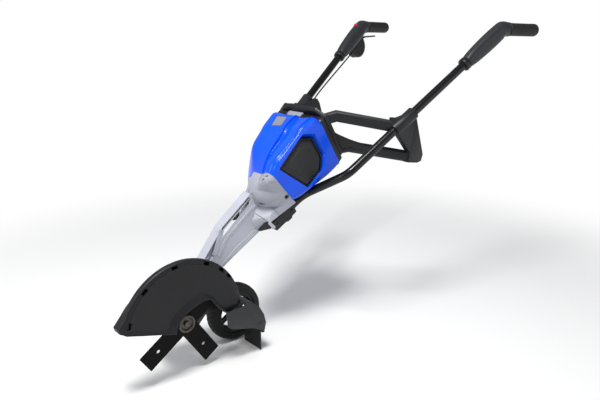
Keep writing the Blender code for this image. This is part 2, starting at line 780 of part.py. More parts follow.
def rear_s(n, offset=0.0):
    """The housing's rear plane: how far along s it lies at height n."""
    return REAR_START + REAR_SLOPE * (n - REAR_LOW_N) + offset


def housing_rings(inset):
    """Rings of the motor housing from its mouth to its slanted rear."""
    rings = []
    shapes = housing_shapes()
    for number, (s, shape) in enumerate(shapes):
        ring = section_points(shape, inset)
        if number == len(shapes) - 1:
            rings.append([(x, rear_s(n), n) for x, n in ring])
        else:
            rings.append([(x, s, n) for x, n in ring])
    return rings


def motor_bell(parent):
    """The cast bell that carries the motor, from the arm's end to the housing's mouth."""
    start = BELL_START
    near, far = HOUSING_HALF_WIDTH, HOUSING_FAR_WIDTH
    mouth = list(housing_shapes()[0][1])
    shapes = [
        (start, (near - 0.057, 0.024, near - 0.067, 0.046, 0.046,
                 0.072 - far, 0.0275, far - 0.055, -0.0385, -0.026)),
        (start + 0.014, (near - 0.035, 0.036, near - 0.045, 0.060, 0.046,
                         0.068 - far, 0.0270, far - 0.050, -0.0405, -0.018)),
        (start + 0.032, (near - 0.010, 0.058, near - 0.021, 0.079, 0.048,
                         0.062 - far, 0.0290, far - 0.040, -0.0430, -0.012)),
        (BELL_MOUTH, mouth),
    ]
    rings = [[(x, s, n) for x, n in section_points(shape)] for s, shape in shapes]
    bell = loft("motor_bell", rings, "cast_aluminium", parent)
    floor = start + BELL_FLOOR
    drill(bell, (MIDDLE_X, floor, 0), (MIDDLE_X, BELL_MOUTH + 0.01, 0), MOTOR_RADIUS + GAP, 28, parent)
    drill(bell, (MIDDLE_X, start - 0.01, 0), (MIDDLE_X, floor + 0.002, 0), BEARING_RADIUS + GAP, 20, parent)
    return bell


def end_plate_start():
    """Where the motor's end plate begins along s."""
    return BELL_MOUTH - GAP - END_PLATE_THICKNESS


def drive_shaft_parts(parent):
    """Pinion, shaft, coupling and rotor, which turn together about the drive line."""
    here = (MIDDLE_X, 0, 0)
    pinion = bevel_gear("bevel_pinion", (0, 1, 0), here, PINION_RADIUS, GEAR_RADIUS, PINION_TEETH,
                        SHAFT_RADIUS + GAP, parent)
    middle = COUPLING_START + COUPLING_LENGTH / 2
    start = GEAR_RADIUS * 0.62
    straight = [(start, 0.0), (start, SHAFT_RADIUS), (middle - GAP, SHAFT_RADIUS), (middle - GAP, 0.0)]
    shaft = turned("drive_shaft", straight, (0, 1, 0), "bright_steel", 16, here, parent)
    end = COUPLING_START + COUPLING_LENGTH
    sleeve = ring_profile(COUPLING_START, end, SHAFT_RADIUS + GAP, COUPLING_RADIUS)
    coupling = turned("shaft_coupling", sleeve, (0, 1, 0), "bright_steel", 16, here, parent)
    body = BELL_START + BELL_FLOOR + ROTOR_START_GAP
    back = end_plate_start() - ROTOR_END_GAP
    tip = BELL_MOUTH - GAP
    profile = [
        (middle + GAP, 0.0), (middle + GAP, SHAFT_RADIUS), (body, SHAFT_RADIUS), (body, ROTOR_RADIUS),
        (back, ROTOR_RADIUS), (back, SHAFT_RADIUS), (tip, SHAFT_RADIUS), (tip, 0.0),
    ]
    rotor = turned("motor_rotor", profile, (0, 1, 0), "bright_steel", 24, here, parent)
    for item in (pinion, shaft, coupling, rotor):
        about(item, here)


def motor_parts(parent):
    """The still parts of the motor: bearing, stator and end plate."""
    here = (MIDDLE_X, 0, 0)
    seat = BELL_START + 0.001
    bearing = ring_profile(seat, seat + BEARING_WIDTH, SHAFT_RADIUS + GAP, BEARING_RADIUS)
    turned("shaft_bearing", bearing, (0, 1, 0), "bright_steel", 20, here, parent)
    low = BELL_START + BELL_FLOOR + GAP
    plate = end_plate_start()
    stator = ring_profile(low, plate - GAP, STATOR_BORE, MOTOR_RADIUS)
    turned("motor_stator", stator, (0, 1, 0), "copper", 32, here, parent)
    lid = ring_profile(plate, plate + END_PLATE_THICKNESS, SHAFT_RADIUS + GAP, MOTOR_RADIUS)
    turned("motor_end_plate", lid, (0, 1, 0), "cast_aluminium", 32, here, parent)


def box_rings(x_low, x_high, outline):
    """Two copies of an (s, n) outline, for a block drawn out along x."""
    return [[(x, s, n) for s, n in outline] for x in (x_low, x_high)]


def battery_outline():
    """The battery's end face in (s, n)."""
    shape = [
        (0.0, 0.0700), (0.0905, 0.0750), (0.1165, 0.0480), (0.1085, -0.0090), (0.0845, -0.0320),
        (0.0320, -0.0320),
    ]
    return [(BATTERY_START + along, n) for along, n in shape]


def battery(parent):
    """The battery pack and the tray that holds it in the housing's near side."""
    face = MIDDLE_X + BATTERY_FACE
    inner_x = face - BATTERY_DEPTH
    outline = battery_outline()
    loft("battery_pack", box_rings(inner_x, face, outline), "battery_plastic", parent)
    rim = MIDDLE_X + HOUSING_HALF_WIDTH - TRAY_SINK
    outer = box_rings(inner_x - GAP - TRAY_WALL, rim, grow(outline, GAP * 2 + TRAY_WALL))
    tray = loft("battery_tray", outer, "dark_plastic", parent)
    hollow = box_rings(inner_x - GAP, rim + 0.01, grow(outline, GAP * 2))
    cut(tray, loft("battery_tray_hollow", hollow, "dark_plastic", parent))
    return tray


def release_button(parent):
    """The square button on the housing's front, in its hole."""
    low_x = MIDDLE_X + BUTTON_X - BUTTON_WIDTH / 2
    low_s = BUTTON_S - BUTTON_LENGTH / 2
    high_s = low_s + BUTTON_LENGTH
    low_n = BUTTON_TOP - BUTTON_HEIGHT
    front_top = BUTTON_TOP + BUTTON_SLOPE * BUTTON_LENGTH
    outline = [(low_s, low_n), (high_s, low_n), (high_s, BUTTON_TOP), (low_s, front_top)]
    loft("release_button", box_rings(low_x, low_x + BUTTON_WIDTH, outline), "grey_plastic", parent)
    high_n = front_top + 0.02
    hole = [(low_s - GAP, low_n), (high_s + GAP, low_n), (high_s + GAP, high_n), (low_s - GAP, high_n)]
    tool = box_rings(low_x - GAP, low_x + BUTTON_WIDTH + GAP, hole)
    return loft("button_hole", tool, "grey_plastic", parent)


def top_latch(parent):
    """The latch plate in a pocket of the rear cover; its rear end is round about its pin line."""
    low_x = MIDDLE_X + LATCH_X - LATCH_WIDTH / 2
    high_x = low_x + LATCH_WIDTH
    round_radius = LATCH_HEIGHT / 2
    rear = rear_s(LATCH_FLOOR, REAR_COVER_THICKNESS) - 0.001
    front = rear - LATCH_LENGTH
    base = LATCH_FLOOR + GAP
    chamfer = LATCH_HEIGHT / 4
    outline = [(front, base + chamfer), (front + chamfer, base), (rear - round_radius, base)]
    outline += arc_points((rear - round_radius, base + round_radius), round_radius, -67.5, 67.5, 6)
    outline += [(rear - round_radius, base + LATCH_HEIGHT), (front, base + LATCH_HEIGHT)]
    loft("top_latch", box_rings(low_x, high_x, outline), "grey_plastic", parent)
    front -= GAP
    high_n = LATCH_FLOOR + 0.03
    pocket = [(front, LATCH_FLOOR), (rear + 0.01, LATCH_FLOOR), (rear + 0.01, high_n), (front, high_n)]
    return loft("latch_pocket", box_rings(low_x - GAP, high_x + GAP, pocket), "grey_plastic", parent)


def motor_cover(parent):
    """The blue shell over the motor and the battery, open at its mouth and its rear."""
    outer = housing_rings(0.0)
    inner = housing_rings(HOUSING_WALL)
    shell = loft("motor_cover", outer + inner[::-1], "blue_plastic", parent, closed_length=True)
    opening = grow(battery_outline(), GAP * 3 + TRAY_WALL)
    near = MIDDLE_X + HOUSING_HALF_WIDTH
    tool = box_rings(near - 0.045, near + 0.02, opening)
    cut(shell, loft("battery_opening", tool, "blue_plastic", parent))
    cut(shell, release_button(parent))
    return shell


def rear_cover(parent):
    """The dark cover that closes the housing's rear."""
    shape = housing_shapes()[-1][1]
    rings = []
    for offset, inset in ((GAP, 0.0), (REAR_COVER_THICKNESS - 0.004, 0.001), (REAR_COVER_THICKNESS, 0.005)):
        rings.append([(x, rear_s(n, offset), n) for x, n in section_points(shape, inset)])
    item = loft("rear_cover", rings, "dark_plastic", parent)
    cut(item, top_latch(parent))
    return item


def controller(parent):
    """The motor's electronics box beside the battery tray."""
    low_s, high_s = CONTROLLER_START, CONTROLLER_START + CONTROLLER_LENGTH
    low, high = CONTROLLER_LOW, CONTROLLER_LOW + CONTROLLER_HEIGHT
    outline = [(low_s, low), (high_s, low), (high_s, high), (low_s, high)]
    high_x = MIDDLE_X + BATTERY_FACE - BATTERY_DEPTH - TRAY_WALL - GAP * 2
    rings = box_rings(high_x - CONTROLLER_DEPTH, high_x, outline)
    return loft("motor_controller", rings, "grey_plastic", parent)


def tube_point(t, side):
    """A point of the upper straight run of a handle tube, t metres above its high bend."""
    return mirrored(Vector(TUBE_BEND_HIGH) + TUBE_DIRECTION * t, side)


def tube_direction(side):
    """The upper run's direction on either side."""
    return Vector((side * TUBE_DIRECTION.x, TUBE_DIRECTION.y, TUBE_DIRECTION.z))


def handle_tube(name, side):
    """A bent handle tube from its clamp on the arm to the inside of its handle."""
    corners = [
        mirrored((TUBE_CLAMP_X, *TUBE_LOW), side), mirrored((TUBE_CLAMP_X, *TUBE_BEND_LOW), side),
        mirrored(TUBE_BEND_HIGH, side), tube_point(ELBOW_AT - TUBE_TO_ELBOW, side),
    ]
    path = rounded_path(corners, BEND_RADIUS, 5)
    return pipe(name, path, TUBE_RADIUS, TUBE_RADIUS - TUBE_WALL, "black_paint", 14)


def tube_clamp(name, side):
    """The block that holds a tube to the side of the arm, with a tail below it."""
    low = Vector((0, *TUBE_LOW))
    high = Vector((0, *TUBE_BEND_LOW))
    along = (high - low).normalized()
    up = Vector((0, -along.z, along.y))
    inner = ARM_NEAR + GAP
    outer = TUBE_CLAMP_X + TUBE_RADIUS + 0.0045

    def at(a, u):
        point = low + along * a + up * u
        return (point.y, point.z)

    outline = [
        at(-0.006, 0.006), at(0.000, -0.0145), at(0.034, -0.0145), at(0.040, -0.0185), at(0.054, -0.0185),
        at(0.058, -0.0145), at(0.074, -0.0135), at(0.076, 0.0125), at(0.000, 0.0130),
    ]
    x_low, x_high = sorted((MIDDLE_X + side * inner, MIDDLE_X + side * outer))
    clamp = prism(name, outline, x_low, x_high, "dark_plastic")
    start = mirrored((TUBE_CLAMP_X, *TUBE_LOW), side) - along * GAP
    end = start + along * 0.12
    drill(clamp, start, end, TUBE_RADIUS + GAP, 14)
    return clamp


def frame_root_x():
    """Low and high x, from the middle plane, of a frame half's root on the rear cover."""
    return GAP, HOUSING_HALF_WIDTH - 0.004


def root_point(x, n, depth):
    """A world point behind the rear cover, from the middle plane, at height n."""
    return Vector((x, *off_drive(rear_s(n, REAR_COVER_THICKNESS + GAP + depth), n)))


def frame_half(name, side):
    """One moulded half of the handle frame: root, two bars, end plate and tube socket."""
    low_x, high_x = frame_root_x()
    low, high = FRAME_ROOT_LOW, FRAME_ROOT_HIGH
    back = FRAME_ROOT_THICKNESS
    outline = [
        (low, 0.0), (high - 0.004, 0.0), (high, 0.004), (high, back - 0.003), (high - 0.006, back),
        (low, back),
    ]
    rings = []
    for x in (low_x, high_x - FRAME_ROOT_TAPER, high_x):
        shrink = FRAME_ROOT_TAPER * 0.7 if x == high_x else 0.0
        ring = [root_point(x, n - shrink if n > 0 else n + shrink * 0.4, depth) for n, depth in outline]
        rings.append([mirrored(point, side) for point in ring])
    item = loft(name, rings, "dark_plastic")
    root_x = high_x - 0.020
    plate_x = FRAME_PLATE_LOW_X + FRAME_PLATE_THICKNESS / 2
    upper_root = root_point(root_x, 0.046, 0.004)
    lower_root = root_point(root_x, -0.046, 0.004)
    upper = [upper_root, upper_root + Vector((0.020, 0.0310, 0.0103)), (plate_x, 0.566, 0.4060)]
    lower = [lower_root, lower_root + Vector((0.016, 0.0322, 0.0051)), (plate_x, 0.634, 0.3185)]
    depth, height = FRAME_BAR_DEPTH, FRAME_BAR_HEIGHT
    for number, path in enumerate((upper, lower)):
        world = [mirrored(point, side) for point in path]
        join(item, bar(f"{name}_bar_{number}", world, depth, height, (0, 0, 1), "dark_plastic"))
    plate = [
        (0.556, 0.430), (0.580, 0.427), (0.634, 0.437), (0.643, 0.424), (0.677, 0.320), (0.671, 0.303),
        (0.655, 0.300), (0.618, 0.306), (0.622, 0.334), (0.575, 0.386), (0.556, 0.398),
    ]
    x_low, x_high = sorted((MIDDLE_X + side * FRAME_PLATE_LOW_X,
                            MIDDLE_X + side * (FRAME_PLATE_LOW_X + FRAME_PLATE_THICKNESS)))
    join(item, prism(name + "_plate", plate, x_low, x_high, "dark_plastic"))
    seat = []
    for depth in (-0.05, GAP / 2):
        corners = ((0.0, -0.1), (high_x + 0.05, -0.1), (high_x + 0.05, 0.1), (0.0, 0.1))
        seat.append([mirrored(root_point(x, n, depth), side) for x, n in corners])
    cut(item, loft(name + "_seat", seat, "dark_plastic"))
    start = tube_point(SOCKET_START, side)
    end = tube_point(SOCKET_START + SOCKET_LENGTH, side)
    join(item, rod(name + "_socket", start, end, SOCKET_RADIUS, "dark_plastic", 18))
    along = tube_direction(side)
    drill(item, start - along * 0.05, end + along * 0.05, TUBE_RADIUS + GAP, 14)
    return item


def handle_path(side):
    """Stations of a handle body: point, direction, height and width of the section."""
    along = tube_direction(side)
    grip = Vector((side * GRIP_DIRECTION.x, GRIP_DIRECTION.y, GRIP_DIRECTION.z))
    elbow = tube_point(ELBOW_AT, side)
    bent = (along + grip).normalized()
    body = [
        (HANDLE_START + COLLAR_LENGTH + GAP, 0.0155, 0.0150), (HANDLE_START + 0.031, 0.0190, 0.0160),
        (HANDLE_START + 0.068, 0.0225, 0.0170), (HANDLE_START + 0.108, 0.0235, 0.0180),
        (ELBOW_AT - 0.017, 0.0225, 0.0180),
    ]
    stations = [(tube_point(t, side), along, high, wide) for t, high, wide in body]
    stations.append((elbow, bent, 0.0215, 0.0175))
    stations.append((elbow + grip * (GRIP_START - GAP), grip, 0.0190, 0.0165))
    stations.append((elbow + grip * GRIP_START, grip, GRIP_CORE_RADIUS, GRIP_CORE_RADIUS))
    core_end = elbow + grip * (GRIP_START + GRIP_LENGTH - 0.018)
    stations.append((core_end, grip, GRIP_CORE_RADIUS, GRIP_CORE_RADIUS))
    return stations


def grip_frame(side):
    """A handle's elbow with the grip's direction, its sideways direction and its up direction."""
    along = Vector((side * GRIP_DIRECTION.x, GRIP_DIRECTION.y, GRIP_DIRECTION.z))
    lateral = (Vector((1, 0, 0)) - along * along.x).normalized()
    return tube_point(ELBOW_AT, side), along, lateral, lateral.cross(along)


def section_frame(along):
    """The sideways and the upward direction square to a handle's run."""
    lateral = (Vector((1, 0, 0)) - along * along.x).normalized()
    return lateral, lateral.cross(along)


def handle_body(name, side, swell):
    """A handle's whole outer body, grown by the swell, as a cutter for its neighbours."""
    rings = []
    for centre, along, high, wide in handle_path(side):
        lateral, top = section_frame(along)
        ring = []
        for i in range(16):
            turn = 2 * math.pi * i / 16
            across = (wide + swell) * math.sin(turn)
            ring.append(centre + lateral * across + top * ((high + swell) * math.cos(turn)))
        rings.append(ring)
    return loft(name, rings, "dark_plastic")


def handle_shell(name, side, half):
    """Half of a handle body, split down its middle; half is +1 for the side towards +X."""
    rings = []
    steps = 8
    inner_steps = 6
    stations = handle_path(side)
    core = GRIP_CORE_RADIUS - 0.005
    snug = (TUBE_RADIUS + GAP) / math.cos(math.pi / (2 * inner_steps))
    for number, (centre, along, high, wide) in enumerate(stations):
        bore = snug if number < len(stations) - 4 else core
        lateral, top = section_frame(along)
        ring = []
        for i in range(steps + 1):
            turn = math.pi * i / steps
            across = half * wide * math.sin(turn) + half * GAP / 2
            ring.append(centre + lateral * across + top * (high * math.cos(turn)))
        for i in range(inner_steps, -1, -1):
            turn = math.pi * i / inner_steps
            across = half * bore * math.sin(turn) + half * GAP / 2
            ring.append(centre + lateral * across + top * (bore * math.cos(turn)))
        rings.append(ring)
    return loft(name, rings, "dark_plastic")


def lock_button(side, shells):
    """The round thumb button on top of a handle, in a hole of both half shells."""
    along = tube_direction(side)
    lateral, top = section_frame(along)
    centre = tube_point(LOCK_AT, side)
    for shell in shells:
        drill(shell, centre + top * 0.006, centre + top * 0.035, LOCK_RADIUS + GAP, 16)
    low = TUBE_RADIUS + LOCK_TRAVEL
    profile = [(low, 0.0), (low, LOCK_RADIUS), (0.0250, LOCK_RADIUS), (0.0262, LOCK_RADIUS - 0.0015),
               (0.0262, 0.0)]
    return about(turned("lock_button", profile, top, "red_plastic", 18, centre), centre)


def trigger_parts(side):
    """The switch housing under a handle, with the trigger lever on its pin and the cable's hole."""
    elbow, grip, lateral, up = grip_frame(side)
    _, top = section_frame(tube_direction(side))
    centre = tube_point(DRUM_AT, side) - top * DRUM_DROP + lateral * DRUM_SHIFT
    half = DRUM_HALF_WIDTH
    profile = [
        (-half, 0.0), (-half, DRUM_RADIUS - 0.004), (-half + 0.004, DRUM_RADIUS), (half - 0.004, DRUM_RADIUS),
        (half, DRUM_RADIUS - 0.004), (half, 0.0),
    ]
    drum = turned("switch_housing", profile, lateral, "dark_plastic", 32, centre)
    cut(drum, handle_body("handle_clearance", side, GAP))

    def at(a, u, across=0.0):
        return elbow + grip * a + up * u + lateral * across

    slot_half = TRIGGER_WIDTH / 2 + GAP * 2
    slot = [(-0.0165, -0.0525), (-0.0030, -0.0560), (0.0220, -0.0430), (0.0220, -0.0200), (-0.0040, -0.0280),
            (-0.0165, -0.0400)]
    rings = [[at(a, u, across) for a, u in slot] for across in (-slot_half, slot_half)]
    cut(drum, loft("trigger_slot", rings, "dark_plastic"))
    pivot = (-0.0100, -0.0460)
    pin_start = at(*pivot, DRUM_SHIFT - half + 0.001)
    pin_end = at(*pivot, DRUM_SHIFT + half - 0.003)
    drill(drum, at(*pivot, DRUM_SHIFT - half - 0.002), pin_end + lateral * GAP, TRIGGER_PIN_RADIUS + GAP, 14)
    rod("trigger_pin", pin_start, pin_end, TRIGGER_PIN_RADIUS, "bright_steel", 14)
    under = -GRIP_RADIUS - TRIGGER_GAP
    path = [at(*pivot), at(0.004, under - 0.0080), at(0.018, under - 0.0030), at(TRIGGER_REACH, under)]
    lever = bar("trigger", path, TRIGGER_WIDTH, TRIGGER_THICKNESS, up, "dark_plastic")
    hub_half = TRIGGER_WIDTH / 2
    hub = rod("trigger_hub", at(*pivot, -hub_half), at(*pivot, hub_half), TRIGGER_PIN_RADIUS + 0.0025,
              "dark_plastic", 16)
    join(lever, hub)
    drill(lever, at(*pivot, -half), at(*pivot, half), TRIGGER_PIN_RADIUS + GAP, 14)
    about(lever, at(*pivot))
    return drum, centre, lateral


def cable_ends(side, centre, lateral):
    """Where the switch cable leaves the switch housing and where it enters the frame's end plate."""
    start = centre + lateral * (0.5 * DRUM_HALF_WIDTH)
    plate_x = FRAME_PLATE_LOW_X + 0.0065
    end = mirrored((plate_x, 0.6270, 0.4357), side)
    run = (end - start).normalized()
    start = start + run * (DRUM_RADIUS - 0.0012)
    return start, end, run


def control_cable(drum, frame, side, centre, lateral):
    """The cable from the switch housing to the frame, held in a hole at each end."""
    start, end, run = cable_ends(side, centre, lateral)
    into = Vector((0.0, run.y, -1.15)).normalized()
    reach = (end - start).length
    count = 24
    points = [start - run * CABLE_ENTRY]
    for i in range(count + 1):
        u = i / count
        points.append(start * (2 * u ** 3 - 3 * u ** 2 + 1) + run * reach * (u ** 3 - 2 * u ** 2 + u)
                      + end * (3 * u ** 2 - 2 * u ** 3) + into * (reach * 0.30) * (u ** 3 - u ** 2))
    points.append(end + into * CABLE_ENTRY)
    curve = bpy.data.curves.new("control_cable", "CURVE")
    curve.dimensions = "3D"
    curve.bevel_depth = CABLE_RADIUS
    curve.bevel_resolution = 2
    curve.use_fill_caps = True
    curve.use_path = False
    spline = curve.splines.new("POLY")
    spline.points.add(len(points) - 1)
    for slot, point in zip(spline.points, points):
        slot.co = (*point, 1.0)
    item = bpy.data.objects.new("control_cable", curve)
    item.parent = bpy.data.objects["machine"]
    curve.materials.append(material("rubber", "control_cable"))
    bpy.context.collection.objects.link(item)
    depth = CABLE_ENTRY + GAP
    drill(drum, start - run * depth, start + run * 0.008, CABLE_RADIUS + GAP, 12)
    drill(frame, end - into * 0.006, end + into * depth, CABLE_RADIUS + GAP, 12)
    return item


def handle_grip(name, side):
    """The soft grip over the handle's core, closed and rounded at its end."""
    grip = Vector((side * GRIP_DIRECTION.x, GRIP_DIRECTION.y, GRIP_DIRECTION.z))
    start = tube_point(ELBOW_AT, side) + grip * (GRIP_START + GAP)
    length = GRIP_LENGTH
    core = GRIP_CORE_RADIUS + GAP
    profile = [
        (0.0, core), (0.0, GRIP_RADIUS - 0.001), (0.003, GRIP_RADIUS), (length - 0.010, GRIP_RADIUS),
        (length - 0.003, GRIP_RADIUS - 0.003), (length, GRIP_RADIUS - 0.009), (length, 0.0),
        (length - 0.017, 0.0), (length - 0.017, core),
    ]
    return turned(name, profile, grip, "rubber", 20, start)


def handle_collar(name, side):
    """The ring that closes a handle's lower end round its tube."""
    profile = ring_profile(0.0, COLLAR_LENGTH, TUBE_RADIUS + GAP, COLLAR_RADIUS)
    profile[1] = (0.0, COLLAR_RADIUS - 0.002)
    return turned(name, profile, tube_direction(side), "dark_plastic", 20, tube_point(HANDLE_START, side))


def guard_arch():
    """The opening round the hub in the guard's near plate, from its front foot to its rear foot."""
    return [
        (-0.036, -0.010), (-0.030, 0.010), (-0.0145, 0.026), (0.003, 0.0375), (0.030, 0.0475),
        (0.046, 0.0500), (0.058, 0.0470), (0.0705, 0.031), (0.093, 0.0065),
    ]


def guard_outline(drop):
    """The guard's side outline above its lower edge, rear foot first, drawn in by the drop.

    The drop fades out towards the nose, where the guard keeps its full reach.
    """
    points = []
    steps = 20
    for i in range(steps + 1):
        angle = 4.0 + 152.0 * i / steps
        fade = min(1.0, max(0.0, (160.0 - angle) / 26.0))
        radius = GUARD_RADIUS - drop * fade * fade * (3 - 2 * fade)
        turn = math.radians(angle)
        points.append((GUARD_CENTRE_Y + radius * math.cos(turn), radius * math.sin(turn)))
    return points + [(-0.1665, 0.0395), (-0.1640, 0.0300)]


def guard_rings(stations, lower, wall=0.0):
    """Rings of the guard at each (x, drop), with the given lower edge."""
    rings = []
    for x, drop in stations:
        outline = guard_outline(drop + wall)
        if wall:
            nose = [(y + wall, z) for y, z in outline[-2:]]
            outline = outline[:-2] + nose
        rings.append([(x, y, z) for y, z in outline + lower])
    return rings


def guard_parts():
    """The guard's cover with its rim, and the backing plate that carries it on the gear case."""
    near = GUARD_NEAR_X
    lower = [(-0.150, 0.0235)] + guard_arch() + [(0.110, -0.004)]
    stations = [(GUARD_FAR_X, GUARD_SHOULDER), (near - GUARD_RIM, 0.001), (near - GUARD_EDGE, 0.0),
                (near, GUARD_EDGE)]
    cover = loft("guard_cover", guard_rings(stations, lower), "dark_plastic")
    open_low = [(-0.16, -0.05), (0.16, -0.05)]
    hollow = [(GUARD_FAR_X - 0.01, GUARD_SHOULDER), (GUARD_FAR_X, GUARD_SHOULDER), (near - GUARD_RIM, 0.001),
              (near - GUARD_WALL, 0.001)]
    cut(cover, loft("guard_hollow", guard_rings(hollow, open_low, GUARD_WALL), "dark_plastic"))
    back_low = [(-0.150, 0.0235), (-0.036, -0.010), (-0.030, -0.036), (0.030, -0.036), (0.060, -0.004),
                (0.110, 0.000)]
    plate = [(GUARD_FAR_X, GUARD_SHOULDER), (GUARD_FAR_X + GUARD_WALL, GUARD_SHOULDER)]
    backing = loft("guard_backing", guard_rings(plate, back_low, GUARD_WALL + GAP), "dark_plastic")
    _, case_near = case_faces()
    cover_face = case_near + GAP + COVER_THICKNESS
    join(backing, rod("guard_backing_boss", (cover_face + GAP, 0, 0), (GUARD_FAR_X + 0.001, 0, 0), 0.034,
                      "dark_plastic", 28))
    drill(backing, (cover_face - 0.01, 0, 0), (GUARD_FAR_X + 0.01, 0, 0), FLANGE_RADIUS + WALL_GAP, 28)
    return cover, backing


def rear_deflector():
    """The hood behind the blade, joined to the guard's rear foot, with its flap below."""
    far_x = -0.049
    near_x = GUARD_NEAR_X + 0.004
    seat_y = 0.201
    hood = [
        (0.1530, 0.014), (0.168, 0.011), (0.194, -0.012), (0.207, -0.035), (0.213, -0.058),
        (0.2075, -0.084), (seat_y, -0.084), (seat_y, -0.066), (0.2060, -0.052), (0.200, -0.035),
        (0.187, -0.014), (0.165, 0.002), (0.1530, 0.006),
    ]
    item = prism("rear_deflector", hood, far_x, near_x, "dark_plastic")
    wall = [
        (0.098, 0.003), (0.1515, 0.005), (0.166, 0.006), (0.190, -0.013), (0.2035, -0.035), (0.2095, -0.058),
        (0.2055, -0.080), (0.172, -0.062), (0.112, -0.045), (0.100, -0.036),
    ]
    join(item, prism("deflector_wall", wall, GUARD_NEAR_X + GAP, near_x, "dark_plastic"))
    flap_y = seat_y - GAP - FLAP_THICKNESS
    flap = [
        (flap_y, -0.068), (flap_y + FLAP_THICKNESS, -0.068), (flap_y + FLAP_THICKNESS, -0.1315),
        (flap_y, -0.1315),
    ]
    prism("debris_flap", flap, far_x + 0.001, GUARD_NEAR_X - 0.001, "rubber")
    return item


def wheel(parent):
    """The tyre, spoked rim and bushes that turn on the axle."""
    near = WHEEL_NEAR_X
    far = near - WHEEL_WIDTH
    middle = (near + far) / 2
    centre = (0, WHEEL_Y, WHEEL_Z)
    half = WHEEL_WIDTH / 2
    tread = []
    for i in range(9):
        angle = math.pi * (i / 8 - 0.5)
        tread.append((middle + half * math.sin(angle), RIM_RADIUS + 0.003
                      + (WHEEL_RADIUS - RIM_RADIUS - 0.003) * math.cos(angle) ** 0.5))
    profile = [(far, RIM_RADIUS + GAP)] + [point for point in tread if point[1] > RIM_RADIUS] + [
        (near, RIM_RADIUS + GAP)]
    tyre = turned("wheel_tyre", profile, (1, 0, 0), "rubber", 36, centre, parent)
    barrel = ring_profile(far + 0.003, near - 0.003, RIM_RADIUS - 0.005, RIM_RADIUS)
    rim = turned("wheel_rim", barrel, (1, 0, 0), "dark_plastic", 36, centre, parent)
    disc = ring_profile(middle - 0.004, middle + 0.004, HUB_RADIUS - 0.002, RIM_RADIUS - 0.002)
    join(rim, turned("wheel_web", disc, (1, 0, 0), "dark_plastic", 36, centre, parent))
    hub = ring_profile(far + 0.002, near - 0.002, BUSH_RADIUS + GAP, HUB_RADIUS)
    join(rim, turned("wheel_hub", hub, (1, 0, 0), "dark_plastic", 20, centre, parent))
    for number in range(SPOKES):
        turn = 2 * math.pi * number / SPOKES
        window = []
        for radius, spread in ((HUB_RADIUS + 0.005, 14), (RIM_RADIUS - 0.009, 22)):
            for sign in (-1, 1):
                angle = turn + math.radians(spread * sign)
                window.append((WHEEL_Y + radius * math.cos(angle), WHEEL_Z + radius * math.sin(angle)))
        window = [window[0], window[2], window[3], window[1]]
        cut(rim, prism("wheel_window", window, middle - 0.01, middle + 0.01, "dark_plastic", parent))
    for name, low in (("wheel_bush_far", far + 0.002), ("wheel_bush_near", near - 0.002 - BUSH_LENGTH)):
        sleeve = ring_profile(low, low + BUSH_LENGTH, AXLE_RADIUS + GAP, BUSH_RADIUS)
        about(turned(name, sleeve, (1, 0, 0), "brass", 16, centre, parent), (middle, *centre[1:]))
    about(tyre, (middle, *centre[1:]))
    about(rim, (middle, *centre[1:]))


def depth_pivot():
    """The depth arm's pivot in the (y, z) plane."""
    return PIVOT_Y, PIVOT_Z


def lock_place():
    """The locking knob's place in the (y, z) plane, along the drive line from the pivot."""
    return PIVOT_Y + SLOT_RADIUS * math.cos(SHAFT_TILT), PIVOT_Z + SLOT_RADIUS * math.sin(SHAFT_TILT)


def depth_plate_faces():
    """Far and near faces of the depth arm's plate along x."""
    near = WHEEL_NEAR_X - WHEEL_WIDTH - DEPTH_PLATE_GAP
    return near - DEPTH_PLATE_THICKNESS, near


